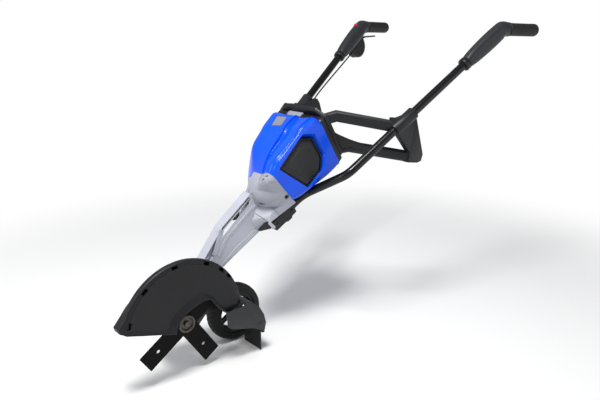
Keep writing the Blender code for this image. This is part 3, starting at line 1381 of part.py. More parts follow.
def depth_arm(parent):
    """The plate that carries the wheel's axle, its pivot pin, its arc slot and its locking knob."""
    far, near = depth_plate_faces()
    pivot = depth_pivot()
    axle = (WHEEL_Y, WHEEL_Z)
    strap = strap_outline(pivot, axle, DEPTH_PLATE_RADIUS, 0.016)
    plate = prism("depth_arm", strap, far, near, "black_paint", parent)
    drill(plate, (far - 0.002, *pivot), (near + 0.002, *pivot), AXLE_RADIUS + GAP, 16, parent)
    drill(plate, (far - 0.002, *axle), (near + 0.002, *axle), AXLE_RADIUS + GAP, 16, parent)
    margin = SLOT_HALF_WIDTH / SLOT_RADIUS
    low_turn = math.degrees(SHAFT_TILT - DEPTH_RANGE - margin)
    high_turn = math.degrees(SHAFT_TILT + margin)
    slot = arc_points(pivot, SLOT_RADIUS + SLOT_HALF_WIDTH, low_turn, high_turn, 8)
    slot += arc_points(pivot, SLOT_RADIUS - SLOT_HALF_WIDTH, high_turn, low_turn, 8)
    cut(plate, prism("depth_slot", slot, far - 0.002, near + 0.002, "black_paint", parent))
    about(plate, (near, *pivot))
    boss_face = near + GAP
    pin = [
        (far - 0.0055, 0.0), (far - 0.0055, 0.0095), (far - GAP, 0.0095), (far - GAP, AXLE_RADIUS),
        (boss_face + 0.020, AXLE_RADIUS), (boss_face + 0.020, 0.0),
    ]
    turned("depth_pivot_pin", pin, (1, 0, 0), "bright_steel", 16, (0, *pivot), parent)
    locking_knob(parent, far, boss_face)
    head = [
        (far - 0.0055, 0.0), (far - 0.0055, 0.010), (far - GAP, 0.010), (far - GAP, AXLE_RADIUS),
        (WHEEL_NEAR_X + 0.0035, AXLE_RADIUS), (WHEEL_NEAR_X + 0.0035, 0.0),
    ]
    pin_end = WHEEL_NEAR_X + 0.0035 + GAP
    turned("wheel_axle", head, (1, 0, 0), "bright_steel", 16, (0, *axle), parent)
    cap = [
        (WHEEL_NEAR_X - 0.002 + GAP, AXLE_RADIUS + GAP), (WHEEL_NEAR_X - 0.002 + GAP, 0.011),
        (WHEEL_NEAR_X + 0.004, 0.010), (WHEEL_NEAR_X + 0.006, 0.007), (WHEEL_NEAR_X + 0.006, 0.0),
        (pin_end, 0.0), (pin_end, AXLE_RADIUS + GAP),
    ]
    turned("axle_cap", cap, (1, 0, 0), "bright_steel", 16, (0, *axle), parent)


def locking_knob(parent, far, boss_face):
    """The lobed knob that clamps the depth arm through its arc slot."""
    y, z = lock_place()
    steps = 30
    base = far - GAP
    shapes = [
        (boss_face + 0.018, KNOB_SHANK_RADIUS, 0.0), (base, KNOB_SHANK_RADIUS, 0.0), (base, 0.0085, 0.0),
        (base - 0.003, 0.0085, 0.0), (base - 0.003, KNOB_RADIUS - 0.0015, 0.0014),
        (base - 0.005, KNOB_RADIUS, 0.0018), (base - KNOB_HEIGHT, KNOB_RADIUS - 0.001, 0.0018),
        (base - KNOB_HEIGHT - 0.002, KNOB_RADIUS - 0.0035, 0.0015),
    ]
    rings = []
    for x, radius, lobe in shapes:
        ring = []
        for i in range(steps):
            turn = 2 * math.pi * i / steps
            reach = radius + lobe * math.cos(5 * turn)
            ring.append((x, y + reach * math.cos(turn), z + reach * math.sin(turn)))
        rings.append(ring)
    return about(loft("depth_knob", rings, "dark_plastic", parent), (base, y, z))


def strap_outline(first, second, first_radius, second_radius):
    """The outline of a flat strap with a round end about each of two centres."""
    along = math.atan2(second[1] - first[1], second[0] - first[0])
    points = []
    for centre, radius, start in ((first, first_radius, along + math.pi / 2),
                                  (second, second_radius, along - math.pi / 2)):
        for i in range(9):
            turn = start + math.pi * i / 8
            points.append((centre[0] + radius * math.cos(turn), centre[1] + radius * math.sin(turn)))
    return points


def handle_side(side, name):
    """One side's tube, clamp, frame half, handle, grip and collar; returns the frame and the shells."""
    handle_tube(name + "_tube", side)
    tube_clamp(name + "_tube_clamp", side)
    frame = frame_half(name + "_frame", side)
    shells = []
    for half, word in ((1, "outer"), (-1, "inner")):
        shells.append(handle_shell(f"{name}_handle_{word}", side, half * side))
    handle_grip(name + "_grip", side)
    handle_collar(name + "_collar", side)
    return frame, shells


def machine():
    """Builds the whole machine round the blade hub."""
    drive_line = empty("drive_line", bpy.data.objects["machine"], tilt=SHAFT_TILT)
    cutter = empty("cutter_axis", bpy.data.objects["machine"])
    spindle_and_blades(cutter)
    gear_case(drive_line)
    drive_arm(drive_line)
    motor_bell(drive_line)
    drive_shaft_parts(drive_line)
    motor_parts(drive_line)
    battery(drive_line)
    motor_cover(drive_line)
    rear_cover(drive_line)
    controller(drive_line)
    handle_side(1, "left")
    frame, shells = handle_side(-1, "right")
    lock_button(-1, shells)
    drum, centre, lateral = trigger_parts(-1)
    control_cable(drum, frame, -1, centre, lateral)
    guard_parts()
    rear_deflector()
    depth_arm(None)
    wheel(None)


def set_on_floor():
    """Moves the machine so that it stands on the floor with its middle over the origin."""
    bpy.context.view_layer.update()
    graph = bpy.context.evaluated_depsgraph_get()
    corners = []
    for item in bpy.data.objects:
        if item.type in {"MESH", "CURVE"} and not item.hide_render:
            shape = item.evaluated_get(graph)
            mesh = shape.to_mesh()
            corners += [shape.matrix_world @ vertex.co for vertex in mesh.vertices]
            shape.to_mesh_clear()
    low = [min(corner[i] for corner in corners) for i in range(3)]
    high = [max(corner[i] for corner in corners) for i in range(3)]
    bpy.data.objects["machine"].location = (-(low[0] + high[0]) / 2, -(low[1] + high[1]) / 2, -low[2])
    bpy.context.view_layer.update()


def main():
    """Clears the scene and builds the machine."""
    clear_scene()
    empty("machine")
    machine()
    set_on_floor()


main()
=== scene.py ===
"""Looks of the cordless lawn edger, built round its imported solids.

Metres, +Z up, the blade towards -Y and the operator's left at +X. Pieces of the arm,
the bell and the housing are worked out in the drive line's own frame: x across,
s along the drive shaft away from the blade's hub, n square to it, upwards.
"""
import logging
import math
from abc import ABC, abstractmethod
from collections.abc import Callable, Iterable, Iterator
from contextlib import contextmanager
from dataclasses import dataclass
from enum import Enum
from typing import Any

import bmesh
import bpy
import numpy as np
from mathutils import Euler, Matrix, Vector


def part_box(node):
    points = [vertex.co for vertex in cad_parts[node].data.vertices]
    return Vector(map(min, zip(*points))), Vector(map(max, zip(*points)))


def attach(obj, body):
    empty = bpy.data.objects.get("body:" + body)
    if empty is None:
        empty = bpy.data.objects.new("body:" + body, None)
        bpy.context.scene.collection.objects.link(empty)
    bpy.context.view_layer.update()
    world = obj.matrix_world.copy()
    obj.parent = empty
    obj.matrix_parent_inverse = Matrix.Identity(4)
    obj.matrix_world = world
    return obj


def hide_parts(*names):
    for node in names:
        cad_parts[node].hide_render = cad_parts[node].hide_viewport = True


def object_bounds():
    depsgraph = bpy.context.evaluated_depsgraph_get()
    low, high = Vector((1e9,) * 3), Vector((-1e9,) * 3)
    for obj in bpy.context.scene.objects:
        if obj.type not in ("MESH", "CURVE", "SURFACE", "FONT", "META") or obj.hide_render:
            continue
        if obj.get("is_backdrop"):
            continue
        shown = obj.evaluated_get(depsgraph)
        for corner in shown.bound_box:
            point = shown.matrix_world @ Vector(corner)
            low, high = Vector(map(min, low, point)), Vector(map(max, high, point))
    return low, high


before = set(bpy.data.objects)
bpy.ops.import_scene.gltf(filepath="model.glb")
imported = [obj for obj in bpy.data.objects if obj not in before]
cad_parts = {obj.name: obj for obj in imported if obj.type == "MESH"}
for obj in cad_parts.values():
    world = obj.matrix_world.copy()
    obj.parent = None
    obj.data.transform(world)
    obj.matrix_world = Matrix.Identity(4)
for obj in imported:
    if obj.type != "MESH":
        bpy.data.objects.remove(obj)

logging.basicConfig(level=logging.INFO, format="%(message)s")
log = logging.getLogger("edger")

Array = np.ndarray
Pairs = tuple[tuple[float, float], ...]
Triple = tuple[float, float, float]
Socket = bpy.types.NodeSocket

GAP: float = 0.0003
TILT: float = math.radians(40.5)
ACROSS: Triple = (1.0, 0.0, 0.0)
UPWARDS: Triple = (0.0, 0.0, 1.0)


def hub_place() -> Array:
    """The blade hub's centre on the near face of the blades, read from the cup's box."""
    low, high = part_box("blade_cup")
    return np.array((low.x - GAP, (low.y + high.y) / 2, (low.z + high.z) / 2))


HUB: Array = hub_place()


def drive_point(x: Array, s: Array, n: Array) -> Array:
    """Places points given in the drive line's frame into the world.

    Formula: y = hub y + s cos(tilt) - n sin(tilt), z = hub z + s sin(tilt) + n cos(tilt).

    Args:
        x: distances across, from the middle plane.
        s: distances along the drive shaft from the hub.
        n: heights square to the shaft.

    Returns:
        An array of points with a last axis of three.
    """
    x, s, n = np.broadcast_arrays(*(np.asarray(part, float) for part in (x, s, n)))
    c, d = math.cos(TILT), math.sin(TILT)
    return np.stack((x, HUB[1] + s * c - n * d, HUB[2] + s * d + n * c), axis=-1)


def hub_point(x: Array, y: Array, z: Array) -> Array:
    """Places points given from the blade's hub into the world."""
    return np.stack(np.broadcast_arrays(*(np.asarray(part, float) for part in (x, y, z))), axis=-1) + HUB


def smooth(value: Array) -> Array:
    """The smooth step 3t^2 - 2t^3 of a value held between 0 and 1."""
    t = np.clip(value, 0.0, 1.0)
    return t * t * (3 - 2 * t)


def unit(vector: Array) -> Array:
    """The vectors of the last axis at length one."""
    vector = np.asarray(vector, float)
    return vector / np.maximum(np.linalg.norm(vector, axis=-1, keepdims=True), 1e-12)


def run_lengths(points: Array) -> Array:
    """The distance covered up to each point of a line of straight runs."""
    return np.cumsum(np.r_[0.0, np.linalg.norm(np.diff(points, axis=0), axis=1)])


def quadratic(start: Array, bend: Array, end: Array, t: Array) -> Array:
    """The curve start (1 - t)^2 + 2 bend t (1 - t) + end t^2, which leans towards its bend."""
    return start * (1 - t) ** 2 + 2 * bend * t * (1 - t) + end * t ** 2


def square_to(along: Array) -> tuple[Array, Array]:
    """The direction nearest to +X that is square to a run, and the one above both.

    Args:
        along: the run's direction, at length one.

    Returns:
        The two directions, both at length one.
    """
    along = np.asarray(along, float)
    lateral = unit(np.array(ACROSS) - along * along[..., :1])
    return lateral, np.cross(lateral, along)


def round_turn(steps: int) -> Array:
    """Even angles once round, without the last that meets the first."""
    return np.linspace(0, 2 * math.pi, steps, endpoint=False)


def smooth_rows(stations: Array, values: Array, wanted: Array) -> Array:
    """Catmull-Rom interpolation of rows of values at rising stations.

    Formula: a Hermite cubic between neighbours, its end slopes taken from the stations on each side.

    Args:
        stations: rising positions of the known rows.
        values: the known rows, one for each station.
        wanted: the positions to work out.

    Returns:
        One row for each wanted position.
    """
    values = np.asarray(values, float)
    slopes = np.gradient(values, stations, axis=0)
    index = np.clip(np.searchsorted(stations, wanted) - 1, 0, len(stations) - 2)
    width = stations[index + 1] - stations[index]
    t = ((wanted - stations[index]) / width)[:, None]
    width = width[:, None]
    flat = values.reshape(len(stations), -1)
    tilt = slopes.reshape(len(stations), -1)
    rows = (flat[index] * (2 * t ** 3 - 3 * t ** 2 + 1) + tilt[index] * width * (t ** 3 - 2 * t ** 2 + t)
            + flat[index + 1] * (3 * t ** 2 - 2 * t ** 3) + tilt[index + 1] * width * (t ** 3 - t ** 2))
    return rows.reshape((len(wanted),) + values.shape[1:])


def closed_curve(controls: Array, steps: int) -> Array:
    """A closed Catmull-Rom curve through control points, with a number of steps for each.

    Args:
        controls: points along the first axis, of any width.
        steps: points worked out for each control point.

    Returns:
        The curve's points.
    """
    before, here = np.roll(controls, 1, axis=0), controls
    after, far = np.roll(controls, -1, axis=0), np.roll(controls, -2, axis=0)
    t = (np.arange(steps) / steps)[None, :, None]
    a, b, c, d = (part[:, None, :] for part in (before, here, after, far))
    curve = 0.5 * (2 * b + (c - a) * t + (2 * a - 5 * b + 4 * c - d) * t ** 2
                   + (3 * b - a - 3 * c + d) * t ** 3)
    return curve.reshape(-1, controls.shape[1])


def bent_path(corners: Array, radius: float, steps: int, straight: int = 6) -> Array:
    """Straight runs between corners, each corner turned with an arc of one radius.

    Formula: the arc's centre lies on the corner's bisector at radius over the sine of half the
    corner's angle, and its points are the slerp between its two end spokes.

    Args:
        corners: the corner points, ends included.
        radius: the bend radius.
        steps: points on each arc.
        straight: points on each straight run.

    Returns:
        The path's points.
    """
    corners = np.asarray(corners, float)
    runs: list[Array] = []
    last = corners[0]
    for before, corner, after in zip(corners, corners[1:], corners[2:]):
        back, ahead = unit(before - corner), unit(after - corner)
        half = math.acos(float(np.clip(back @ ahead, -1, 1))) / 2
        centre = corner + unit(back + ahead) * (radius / math.sin(half))
        first = corner + back * (radius / math.tan(half))
        end = corner + ahead * (radius / math.tan(half))
        share = np.linspace(0, 1, straight, endpoint=False)[:, None]
        runs.append(last + (first - last) * share)
        spoke, other = first - centre, end - centre
        total = math.acos(float(np.clip(unit(spoke) @ unit(other), -1, 1)))
        share = np.linspace(0, 1, steps)[:, None]
        slerp = spoke * np.sin((1 - share) * total) + other * np.sin(share * total)
        runs.append(centre + slerp / math.sin(total))
        last = end
    share = np.linspace(0, 1, straight)[1:, None]
    runs.append(last + (corners[-1] - last) * share)
    return np.concatenate(runs)


def grid_quads(rows: int, columns: int, wrap_rows: bool, wrap_columns: bool) -> list[list[int]]:
    """Quads between neighbouring points of a grid, worked out as whole arrays.

    Args:
        rows: how many rows the grid has.
        columns: how many columns it has.
        wrap_rows: whether the last row joins the first.
        wrap_columns: whether the last column joins the first.

    Returns:
        Four point numbers for each face.
    """
    row = np.arange(rows if wrap_rows else rows - 1)[:, None]
    column = np.arange(columns if wrap_columns else columns - 1)[None, :]
    below, beside = (row + 1) % rows, (column + 1) % columns
    quads = (row * columns + column, row * columns + beside,
             below * columns + beside, below * columns + column)
    return np.stack([part.ravel() for part in np.broadcast_arrays(*quads)], axis=1).tolist()


class Piece:
    """A visible piece under construction: its mesh, finish, body and the solids it stands for."""

    def __init__(self, name: str, mesh: bpy.types.Mesh) -> None:
        """Puts a mesh into a new object at the origin."""
        self.item = bpy.data.objects.new(name, mesh)
        bpy.context.scene.collection.objects.link(self.item)

    @classmethod
    def of(cls, name: str, points: Array, faces: list[list[int]]) -> "Piece":
        """A piece of points and faces.

        Args:
            name: the piece's name.
            points: the points, along any axes before the last.
            faces: each face's point numbers.

        Returns:
            The new piece.
        """
        mesh = bpy.data.meshes.new(name)
        mesh.from_pydata(points.reshape(-1, 3).tolist(), [], faces)
        return cls(name, mesh)

    @classmethod
    def grid(cls, name: str, grid: Array, wrap_rows: bool = False, wrap_columns: bool = True,
             capped: bool = True) -> "Piece":
        """A surface through a grid of points; open row ends are capped where asked.

        Args:
            name: the piece's name.
            grid: points with axes row, column and coordinate.
            wrap_rows: whether the last row joins the first.
            wrap_columns: whether the last column joins the first.
            capped: whether the first and last rows are closed with a face.

        Returns:
            The new piece.
        """
        rows, columns = grid.shape[:2]
        faces = grid_quads(rows, columns, wrap_rows, wrap_columns)
        if capped and not wrap_rows:
            faces += [list(range(columns)), list(range((rows - 1) * columns, rows * columns))]
        return cls.of(name, grid, faces).mend()

    @classmethod
    def turned(cls, name: str, profile: Pairs | Array, origin: Array, axis: Triple | Array,
               steps: int) -> "Piece":
        """A profile of (along, radius) spun round an axis, both ends closed at the axis or on each other.

        Formula: point = origin + axis * along + radius * (cos t * side + sin t * up).

        Args:
            name: the piece's name.
            profile: the (along, radius) pairs.
            origin: the point that along is counted from.
            axis: the axis's direction.
            steps: how many points make one turn.

        Returns:
            The new piece.
        """
        profile = np.asarray(profile, float)
        axis = unit(axis)
        side = unit(np.cross(axis, UPWARDS if abs(axis[2]) < 0.9 else (0.0, 1.0, 0.0)))
        up = np.cross(side, axis)
        turn = round_turn(steps)
        ring = np.cos(turn)[:, None] * side + np.sin(turn)[:, None] * up
        grid = (np.asarray(origin, float) + profile[:, 0, None, None] * axis
                + profile[:, 1, None, None] * ring[None])
        closed = profile[0, 1] > 0 and profile[-1, 1] > 0
        return cls.grid(name, grid, wrap_rows=closed, capped=False)

    @classmethod
    def swept(cls, name: str, path: Array, section: Array) -> "Piece":
        """A closed section of (side, up) carried along a path.

        Formula: point = path point + side direction * section side + up direction * section up.

        Args:
            name: the piece's name.
            path: the points it follows.
            section: the section's (side, up) points.

        Returns:
            The new piece.
        """
        along = unit(np.gradient(path, axis=0))
        side = unit(np.cross(along, UPWARDS))
        up = np.cross(side, along)
        grid = path[:, None] + side[:, None] * section[None, :, :1] + up[:, None] * section[None, :, 1:]
        return cls.grid(name, grid)

    @classmethod
    def copy_of(cls, node: str) -> "Piece":
        """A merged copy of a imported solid's mesh, its flat triangles joined back into faces.

        Args:
            node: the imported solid's name.

        Returns:
            The new piece.
        """
        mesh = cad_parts[node].data.copy()
        mesh.materials.clear()
        piece = cls(node + "_finished", mesh)
        reach, flat = 2e-6, math.radians(0.6)
        with piece.editing() as build:
            bmesh.ops.remove_doubles(build, verts=build.verts, dist=reach)
            bmesh.ops.dissolve_limit(build, angle_limit=flat, verts=build.verts, edges=build.edges)
        mesh.shade_smooth()
        return piece

    @contextmanager
    def editing(self) -> Iterator[bmesh.types.BMesh]:
        """The mesh opened for editing and written back afterwards."""
        build = bmesh.new()
        build.from_mesh(self.item.data)
        yield build
        build.to_mesh(self.item.data)
        build.free()

    def close_ends(self) -> "Piece":
        """Closes the open ends of a tube of faces.

        Returns:
            The same piece.
        """
        with self.editing() as build:
            bmesh.ops.holes_fill(build, edges=[edge for edge in build.edges if edge.is_boundary], sides=0)
            bmesh.ops.recalc_face_normals(build, faces=build.faces)
        return self

    def mend(self) -> "Piece":
        """Merges points that meet, drops empty faces and turns all faces outwards.

        Returns:
            The same piece.
        """
        reach = 1e-6
        with self.editing() as build:
            bmesh.ops.remove_doubles(build, verts=build.verts, dist=reach)
            bmesh.ops.dissolve_degenerate(build, edges=build.edges, dist=reach)
            bmesh.ops.recalc_face_normals(build, faces=build.faces)
        self.item.data.shade_smooth()
        return self

    def sharp(self, degrees: float) -> "Piece":
        """Keeps edges sharper than an angle crisp."""
        self.item.data.set_sharp_from_angle(angle=math.radians(degrees))
        return self

    def rounded(self, width: float, segments: int = 2, degrees: float = 32.0) -> "Piece":
        """Rounds every edge sharper than an angle.

        Args:
            width: how far from the edge its rounding starts.
            segments: how many faces the rounding has.
            degrees: the angle.

        Returns:
            The same piece.
        """
        step = self.item.modifiers.new("rounded", "BEVEL")
        step.width = width
        step.segments = segments
        step.limit_method = "ANGLE"
        step.angle_limit = math.radians(degrees)
        step.use_clamp_overlap = True
        step.harden_normals = True
        step.miter_outer = "MITER_ARC"
        return self

    def cut(self, tool: "Piece") -> "Piece":
        """Takes a tool's shape out of the piece and drops the tool.

        Args:
            tool: the piece that is taken out.

        Returns:
            The same piece.
        """
        step = self.item.modifiers.new("cut", "BOOLEAN")
        step.operation = "DIFFERENCE"
        step.solver = "EXACT"
        step.object = tool.item
        bpy.context.view_layer.update()
        graph = bpy.context.evaluated_depsgraph_get()
        mesh = bpy.data.meshes.new_from_object(self.item.evaluated_get(graph), depsgraph=graph)
        self.item.modifiers.clear()
        self.item.data = mesh
        bpy.data.objects.remove(tool.item, do_unlink=True)
        return self

    def done(self, finish: "Finish", body: str, *nodes: str) -> None:
        """Dresses the piece, rides it on a body and hides the solids that it stands for.

        Args:
            finish: the finish it wears.
            body: the CAD body that it rides on.
            nodes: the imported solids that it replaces.
        """
        self.item.data.materials.clear()
        self.item.data.materials.append(finish.material())
        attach(self.item, body)
        if nodes:
            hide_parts(*nodes)
        log.info("%s rides on %s", self.item.name, body)


def merged(name: str, pieces: list[Piece]) -> Piece:
    """Several pieces as one, in a single mesh.

    Args:
        name: the new piece's name.
        pieces: the pieces, which it uses up.

    Returns:
        The new piece.
    """
    points: list[Array] = []
    faces: list[list[int]] = []
    base = 0
    for piece in pieces:
        mesh = piece.item.data
        place = np.empty(len(mesh.vertices) * 3)
        mesh.vertices.foreach_get("co", place)
        points.append(place.reshape(-1, 3))
        faces += [[base + i for i in face.vertices] for face in mesh.polygons]
        base += len(mesh.vertices)
        bpy.data.objects.remove(piece.item, do_unlink=True)
    result = Piece.of(name, np.concatenate(points), faces)
    result.item.data.shade_smooth()
    return result


def screw_head(name: str, place: Array, axis: Triple, radius: float, height: float) -> Piece:
    """A screw's domed head with a socket, standing on a face.

    Args:
        name: the head's name.
        place: the point of the face under the head.
        axis: the direction it stands in.
        radius: the head's radius.
        height: the head's height.

    Returns:
        The head as a piece.
    """
    foot, shoulder, socket_floor = -0.001, height * 0.55, height * 0.3
    profile = ((foot, 0.0), (foot, radius), (shoulder, radius), (height * 0.9, radius * 0.86),
               (height, radius * 0.62), (height, radius * 0.48), (socket_floor, radius * 0.44),
               (socket_floor, 0.0))
    return Piece.turned(name, profile, place, axis, 24)


def peg(place: Array, axis: Triple | Array, radius: float, span: tuple[float, float], steps: int) -> Piece:
    """The tool for a round hole: a cylinder along an axis, over a span of it.

    Args:
        place: the point that the span is counted from.
        axis: the axis's direction.
        radius: the hole's radius.
        span: where the cylinder starts and ends along the axis.
        steps: how many points make one turn.

    Returns:
        The tool as a piece.
    """
    low, high = span
    profile = ((low, 0.0), (low, radius), (high, radius), (high, 0.0))
    return Piece.turned("hole", profile, place, axis, steps)


class Tree:
    """A node tree under construction, with one call for each node."""

    def __init__(self, tree: bpy.types.NodeTree) -> None:
        """Takes the tree to fill."""
        self.tree = tree

    def add(self, kind: str, inputs: dict[str | int, Any] | None = None, **settings: Any) -> bpy.types.Node:
        """Adds a node.

        Args:
            kind: the node's type without its ShaderNode prefix.
            inputs: for each input a value, or the socket that drives it.
            settings: the node's own settings.

        Returns:
            The new node.
        """
        node = self.tree.nodes.new("ShaderNode" + kind)
        for name, value in settings.items():
            setattr(node, name, value)
        self.feed(node, inputs or {})
        return node

    def feed(self, node: bpy.types.Node, inputs: dict[str | int, Any]) -> None:
        """Gives a node's inputs their values or the sockets that drive them.

        Args:
            node: the node to feed.
            inputs: for each input a value, or the socket that drives it.
        """
        for name, value in inputs.items():
            if isinstance(value, Socket):
                self.tree.links.new(value, node.inputs[name])
            else:
                node.inputs[name].default_value = value

    def mapped(self, value: Socket, source: tuple[float, float], target: tuple[float, float]) -> Socket:
        """A value mapped from one range to another and held there.

        Args:
            value: the socket that gives the value.
            source: the range it is read over.
            target: the range it is mapped to.

        Returns:
            The mapped value's socket.
        """
        inputs = {"Value": value, "From Min": source[0], "From Max": source[1], "To Min": target[0],
                  "To Max": target[1]}
        return self.add("MapRange", inputs).outputs["Result"]


class Grain(Enum):
    """Kinds of fine relief that a finish carries."""

    GLOSS = "faint orange peel under a clear coat"
    CAST = "speckled paint on a casting"
    MOULDED = "spark-eroded mould grain"
    PAINT = "powder paint with a soft peel"
    BRUSHED = "lines of a brush along one direction"
    SOFT = "matt rubber with fine pores"
    TURNED = "rings of a lathe tool round one axis"


NOISE_SPAN: tuple[float, float] = (0.3, 0.7)
BROAD_SCALE: float = 18.0
SPOT_SCALE: float = 210.0
COAT_ROUGH: float = 0.12
DUST_COLOUR: tuple[float, ...] = (0.3, 0.3, 0.3, 1)
WHITE: tuple[float, ...] = (1, 1, 1, 1)


@dataclass(frozen=True)
class Finish:
    """A material with real relief, colour drift and uneven gloss, all read from Object coordinates.

    Attributes:
        name: the material's name.
        slot: the kind of material that it is; not used.
        colour: linear base colour.
        rough: middle roughness.
        grain: the kind of relief.
        size: grain size in metres.
        depth: grain height in metres.
        metal: share of metal.
        coat: strength of the clear coat.
        drift: share by which the colour wanders.
        dust: lighter haze that settles on faces turned upwards.
        stretch: how far the grain is drawn out along each axis.
        level: specular level.
    """

    name: str
    slot: str
    colour: Triple
    rough: float
    grain: Grain
    size: float
    depth: float
    metal: float = 0.0
    coat: float = 0.0
    drift: float = 0.06
    dust: float = 0.0
    stretch: Triple = (1.0, 1.0, 1.0)
    level: float = 0.5

    def material(self) -> bpy.types.Material:
        """The finish's material, made once and then shared."""
        known = bpy.data.materials.get(self.name)
        return known if known is not None else self._build()

    def _build(self) -> bpy.types.Material:
        """Builds the node tree: coordinates, relief, drift and uneven gloss into one shader.

        Returns:
            The new material.
        """
        made = bpy.data.materials.new(self.name)
        made.use_nodes = True
        tree = Tree(made.node_tree)
        place = tree.add("TexCoord").outputs["Object"]
        if self.stretch != (1.0, 1.0, 1.0):
            place = tree.add("VectorMath", {0: place, 1: self.stretch}, operation="MULTIPLY").outputs[0]
        fine = self._noise(tree, place, 1 / self.size, 2.0 if self.grain is not Grain.GLOSS else 0.0)
        broad = self._noise(tree, place, BROAD_SCALE, 3.0)
        spots = self._noise(tree, place, SPOT_SCALE, 2.0)
        normal = self._relief(tree, place, fine)
        gloss = tree.mapped(spots, NOISE_SPAN, (self.rough * 0.88, min(1.0, self.rough * 1.14)))
        inputs = {"Metallic": self.metal, "Coat Weight": self.coat, "Coat Roughness": COAT_ROUGH,
                  "Specular IOR Level": self.level, "Normal": normal, "Roughness": gloss,
                  "Base Color": self._tone(tree, broad, fine, spots)}
        if self.coat:
            inputs["Coat Normal"] = normal
        tree.feed(made.node_tree.nodes["Principled BSDF"], inputs)
        return made

    @staticmethod
    def _noise(tree: Tree, place: Socket, scale: float, detail: float) -> Socket:
        """A noise field of one scale over the given coordinates."""
        inputs = {"Vector": place, "Scale": scale, "Detail": detail, "Roughness": 0.55}
        return tree.add("TexNoise", inputs).outputs["Fac"]

    def _relief(self, tree: Tree, place: Socket, fine: Socket) -> Socket:
        """The normal bent by the grain: noise, pits of a cell pattern, or tool lines.

        Args:
            tree: the material's tree.
            place: the coordinates.
            fine: the noise at the grain's size.

        Returns:
            The normal's socket.
        """
        height = fine
        if self.grain in (Grain.CAST, Grain.MOULDED):
            cells = tree.add("TexVoronoi", {"Vector": place, "Scale": 0.6 / self.size}, feature="SMOOTH_F1")
            height = tree.add("Math", {0: fine, 1: cells.outputs["Distance"]}, operation="ADD").outputs[0]
        if self.grain is Grain.TURNED:
            inputs = {"Vector": place, "Scale": 0.3 / self.size, "Distortion": 0.6}
            height = tree.add("TexWave", inputs, wave_type="RINGS", rings_direction="X").outputs["Fac"]
        bump = tree.add("Bump", {"Strength": 1.0, "Distance": self.depth, "Height": height})
        return bump.outputs["Normal"]

    def _tone(self, tree: Tree, broad: Socket, fine: Socket, spots: Socket) -> Socket:
        """The base colour, mixed with its lighter and darker neighbours, flecked and dusted.

        Args:
            tree: the material's tree.
            broad: the noise of the slow drift.
            fine: the noise of the flecks.
            spots: the noise that breaks up the dust.

        Returns:
            The colour's socket.
        """
        ramp = tree.add("ValToRGB", {"Fac": broad})
        dark = tuple(part * (1 - self.drift) for part in self.colour)
        light = tuple(min(1.0, part * (1 + self.drift) + self.drift * 0.006) for part in self.colour)
        for element, position, colour in zip(ramp.color_ramp.elements, NOISE_SPAN, (dark, light)):
            element.position = position
            element.color = (*colour, 1)
        shade = ramp.outputs["Color"]
        if self.grain in (Grain.CAST, Grain.MOULDED, Grain.SOFT, Grain.PAINT):
            fleck = tree.mapped(fine, (0.35, 0.7), (1 - self.drift * 1.3, 1 + self.drift * 1.3))
            shade = tree.add("VectorMath", {0: shade, "Scale": fleck}, operation="SCALE").outputs[0]
        return self._dusted(tree, shade, spots) if self.dust else shade

    def _dusted(self, tree: Tree, shade: Socket, spots: Socket) -> Socket:
        """A pale haze over faces turned upwards, broken up by noise.

        Args:
            tree: the material's tree.
            shade: the colour under the haze.
            spots: the noise that breaks it up.

        Returns:
            The colour's socket.
        """
        normal = tree.add("NewGeometry").outputs["Normal"]
        upwards = tree.add("SeparateXYZ", {0: normal}).outputs["Z"]
        lift = tree.mapped(upwards, (0.2, 1.0), (0.0, self.dust))
        broken = tree.add("Math", {0: lift, 1: spots}, operation="MULTIPLY").outputs[0]
        mix = tree.add("Mix", {"Factor": broken, "A": shade, "B": DUST_COLOUR}, data_type="RGBA")
        return mix.outputs["Result"]


BLUE = Finish("gloss_blue", "blue_plastic", (0.0015, 0.080, 0.78), 0.20, Grain.GLOSS, 0.0016, 0.00001,
              coat=0.12, drift=0.03, level=0.26)
CASTING = Finish("cast_grey_paint", "cast_aluminium", (0.44, 0.457, 0.518), 0.40, Grain.CAST, 0.0009,
                 0.00007, drift=0.035, level=0.4)
# A darker copy of the cast paint that the arm wears: painted shade on the bell and its motor can, which
# these lamps light more than the arm.
CASTING_PAINTED_SHADE = Finish("cast_grey_bell_painted_shade", "cast_aluminium", (0.325, 0.338, 0.392), 0.38, Grain.CAST, 0.0009,
                   0.00007, drift=0.035, level=0.5)
CHARCOAL = Finish("charcoal_moulding", "dark_plastic", (0.0085, 0.0089, 0.0106), 0.44, Grain.MOULDED,
                  0.0007, 0.00005, drift=0.08, dust=0.05, level=0.36)
GUARD_BLACK = Finish("guard_moulding", "dark_plastic", (0.0060, 0.0061, 0.0076), 0.46, Grain.MOULDED,
                     0.0007, 0.00005, drift=0.08, dust=0.06, level=0.31)
# A lighter copy of the charcoal moulding: painted light for the light that falls on the handles from above
# and the left; the hood wears it too.
HANDLE_PAINTED_LIGHT = Finish("handle_moulding_painted_light", "dark_plastic", (0.0180, 0.0190, 0.0225), 0.42, Grain.MOULDED, 0.0006,
                0.00004, drift=0.07, dust=0.04, level=0.36)
CHARCOAL_SATIN = Finish("charcoal_satin", "dark_plastic", (0.0085, 0.0088, 0.0100), 0.36, Grain.MOULDED,
                        0.0005, 0.00002, drift=0.06, level=0.36)
BLADE = Finish("blade_black", "black_steel", (0.0036, 0.0034, 0.0038), 0.46, Grain.PAINT, 0.0011, 0.00003,
               drift=0.14, level=0.08)
TUBE = Finish("tube_paint", "black_paint", (0.0032, 0.0033, 0.0040), 0.27, Grain.PAINT, 0.0012, 0.000015,
              coat=0.10, drift=0.08, level=0.30)
RUBBER = Finish("moulded_rubber", "rubber", (0.0115, 0.0115, 0.0122), 0.58, Grain.SOFT, 0.0006, 0.00004,
                drift=0.10, level=0.32)
